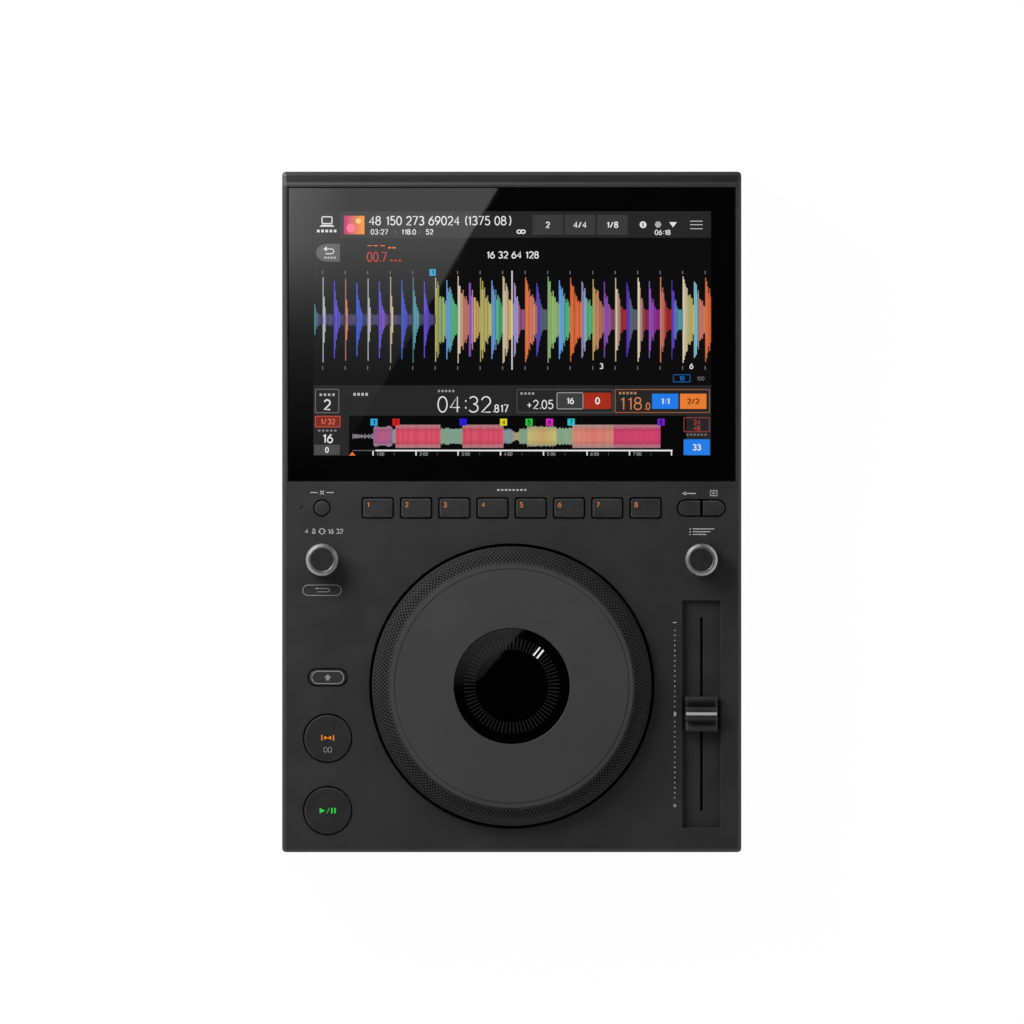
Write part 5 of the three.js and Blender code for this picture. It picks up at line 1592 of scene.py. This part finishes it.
# %% Surround and soft box
SKY_LEVELS = [(0.0, 1.0), (0.02, 0.76), (0.35, 0.66), (0.7, 0.33), (0.88, 0.03), (1.0, 0.004)]
PAPER_WHITE = (1.0, 1.0, 1.0, 1.0)
sky = Finish("surround", bpy.data.worlds)
sky_height = sky.add("SeparateXYZ", Vector=sky.place("Generated")).outputs["Z"]
seen_by_camera = sky.add("LightPath").outputs["Is Camera Ray"]
sky_colour = sky.mix(seen_by_camera, sky.greys(sky_height, SKY_LEVELS), PAPER_WHITE)
sky_light = sky.add("Background", Color=sky_colour, Strength=1.0)
bpy.context.scene.world = sky.end(sky_light, "OutputWorld")

BOX_SPOT = Vector((-0.42, 0.36, 0.46))
BOX_AIM = Vector((0, 0, 0.05))
box_light = bpy.data.lights.new("soft_box", "AREA")
box_light.size = 0.4
box_light.energy = 3.15
soft_box = bpy.data.objects.new("soft_box", box_light)
soft_box.location = BOX_SPOT
soft_box.rotation_euler = (BOX_AIM - BOX_SPOT).to_track_quat("-Z", "Y").to_euler()
bpy.context.scene.collection.objects.link(soft_box)
print("soft box of", round(box_light.size, 2), "m,", round(box_light.energy, 2), "W")

# %% [markdown]
# Two pale cards hang over the player, seen only in its mirrors. They give the display and the
# lens their slanted pane of light, as a studio would with a flag. Each card's outline is found
# by following a ray straight down to the glass and on to the height of the card. A third card
# stands upright behind the player and gives the rear ridge its fall from light to dark.

# %% Mirrored cards
CARD_HEIGHT = 1200.0
GLASS_REFLECTION = 0.04
CORNER_X = (-0.125, -0.09)


def mirror_spot(x, y, tilt, surface):
    """Where the card's plane is seen from above in a surface tilted towards the front."""
    z = surface + (y - SLOPE_Y) * math.tan(tilt) if tilt else surface
    return (x, y - (CARD_HEIGHT - z) * math.tan(2 * tilt))


def mirrored(level):
    """The brightness of a card whose mirror image in glass has this display level."""
    return grey(level)[0] / GLASS_REFLECTION


def only_in_mirrors(made):
    """Stages a card that neither the camera nor matt surfaces see."""
    made.visible_camera = made.visible_diffuse = made.visible_shadow = False


def card(name, outline, levels, strength, corner_boost=0.0):
    """A glowing card that fades from the rear (first level) to the front (last level)."""
    low, high = min(y for x, y in outline) * MM, max(y for x, y in outline) * MM
    look = Finish(name)
    spot = look.add("SeparateXYZ", Vector=look.place())
    fade = look.greys(look.spread(spot.outputs["Y"], 1.0, 0.0, low, high), levels)
    left = look.spread(spot.outputs["X"], corner_boost, 0.0, *CORNER_X)
    rear = look.spread(spot.outputs["Y"], 0.0, 1.0, low + (high - low) / 2, high)
    boost = look.maths("ADD", look.maths("MULTIPLY", left, rear), 1.0)
    power = look.maths("MULTIPLY", boost, strength)
    finish = look.end(look.add("Emission", Color=fade, Strength=power))
    points = [(x, y, CARD_HEIGHT) for x, y in outline]
    only_in_mirrors(new_object(name, points, [list(range(len(outline)))], finish))


GLASS_BACK, GLASS_FRONT = 177.0, 17.0
pane = [
    (-130.0, GLASS_BACK + 6), (-7.8, GLASS_BACK + 6), (-7.8, GLASS_BACK), (-84.2, 46.0),
    (-101.0, GLASS_FRONT), (-101.0, GLASS_FRONT - 6), (-130.0, GLASS_FRONT - 6),
]
pane_levels = [
    (0.0, 70), (0.2, 69), (0.28, 61), (0.39, 48), (0.486, 36), (0.58, 26), (0.708, 16),
    (0.835, 7), (0.93, 2), (1.0, 0),
]
BRIGHTEST = mirrored(72)
card("display_pane", [mirror_spot(x, y, TILT, DECK) for x, y in pane],
     [(position, mirrored(level) / BRIGHTEST) for position, level in pane_levels],
     BRIGHTEST, corner_boost=0.9)


def graded_strip():
    """An upright card behind the player, bright at the left and dark at the right."""
    look = Finish("graded_strip")
    spot = look.add("SeparateXYZ", Vector=look.place())
    rise = look.spread(spot.outputs["Z"], 0.25, 1.0, 0.17, 0.26)
    fall = look.spread(spot.outputs["Z"], 2.8, 0.8, 0.38, 0.48)
    share = look.spread(spot.outputs["X"], 1.0, 0.02, -0.125, 0.08)
    level = look.maths("MULTIPLY", look.maths("MULTIPLY", rise, fall), share)
    finish = look.end(look.add("Emission", Strength=level))
    corners = [(x, 1000.0, z) for x, z in rect(-900.0, 100.0, 900.0, 600.0)]
    only_in_mirrors(new_object("graded_strip", corners, [[0, 1, 2, 3]], finish))


graded_strip()
rear_y = LENS.y + 36
lens_pane = [
    (-36.0, rear_y), (8.0, rear_y), (5.6, LENS.y + 30.6), (-0.8, LENS.y + 23.4),
    (-8.9, LENS.y + 13.7), (-17.7, LENS.y + 3.2), (-36.0, LENS.y - 2),
]
card("lens_pane", lens_pane, [(0.0, 1.0), (0.6, 0.5), (1.0, 0.0)], mirrored(42))
print("cards hang at", CARD_HEIGHT, "mm, the brightest at", round(BRIGHTEST, 2))

# %% [markdown]
# The floor is a plain white sweep. Seen by the camera or in a mirror it glows a little, so that
# it reads as clean white paper, and it still takes the faint shadow of the player.

# %% The floor
FLOOR_REACH = 3000.0
GLOW_SHARE = 0.93
paper = Finish("white_paper")
path = paper.add("LightPath")
seen = paper.maths("MAXIMUM", path.outputs["Is Camera Ray"], path.outputs["Is Glossy Ray"])
seen = paper.maths("MAXIMUM", seen, path.outputs["Is Transmission Ray"])
matt = paper.add("BsdfDiffuse", Color=(0.8, 0.8, 0.8, 1.0))
glow = paper.add("Emission", Color=PAPER_WHITE, Strength=1.05)
mixed = paper.add("MixShader", Fac=paper.maths("MULTIPLY", seen, GLOW_SHARE))
paper.tree.links.new(matt.outputs[0], mixed.inputs[1])
paper.tree.links.new(glow.outputs[0], mixed.inputs[2])
corners = [(x, y, 0.0) for x, y in rect(-FLOOR_REACH, -FLOOR_REACH, FLOOR_REACH, FLOOR_REACH)]
new_object("floor", corners, [[0, 1, 2, 3]], paper.end(mixed))
print("floor", 2 * FLOOR_REACH * MM, "m across")

# %% [markdown]
# ## The view transform
#
# Colours are shown with the Standard view transform. The dressed player must still fill
# the box of its CAD frame and never pass it.

bpy.context.scene.view_settings.view_transform = "Standard"
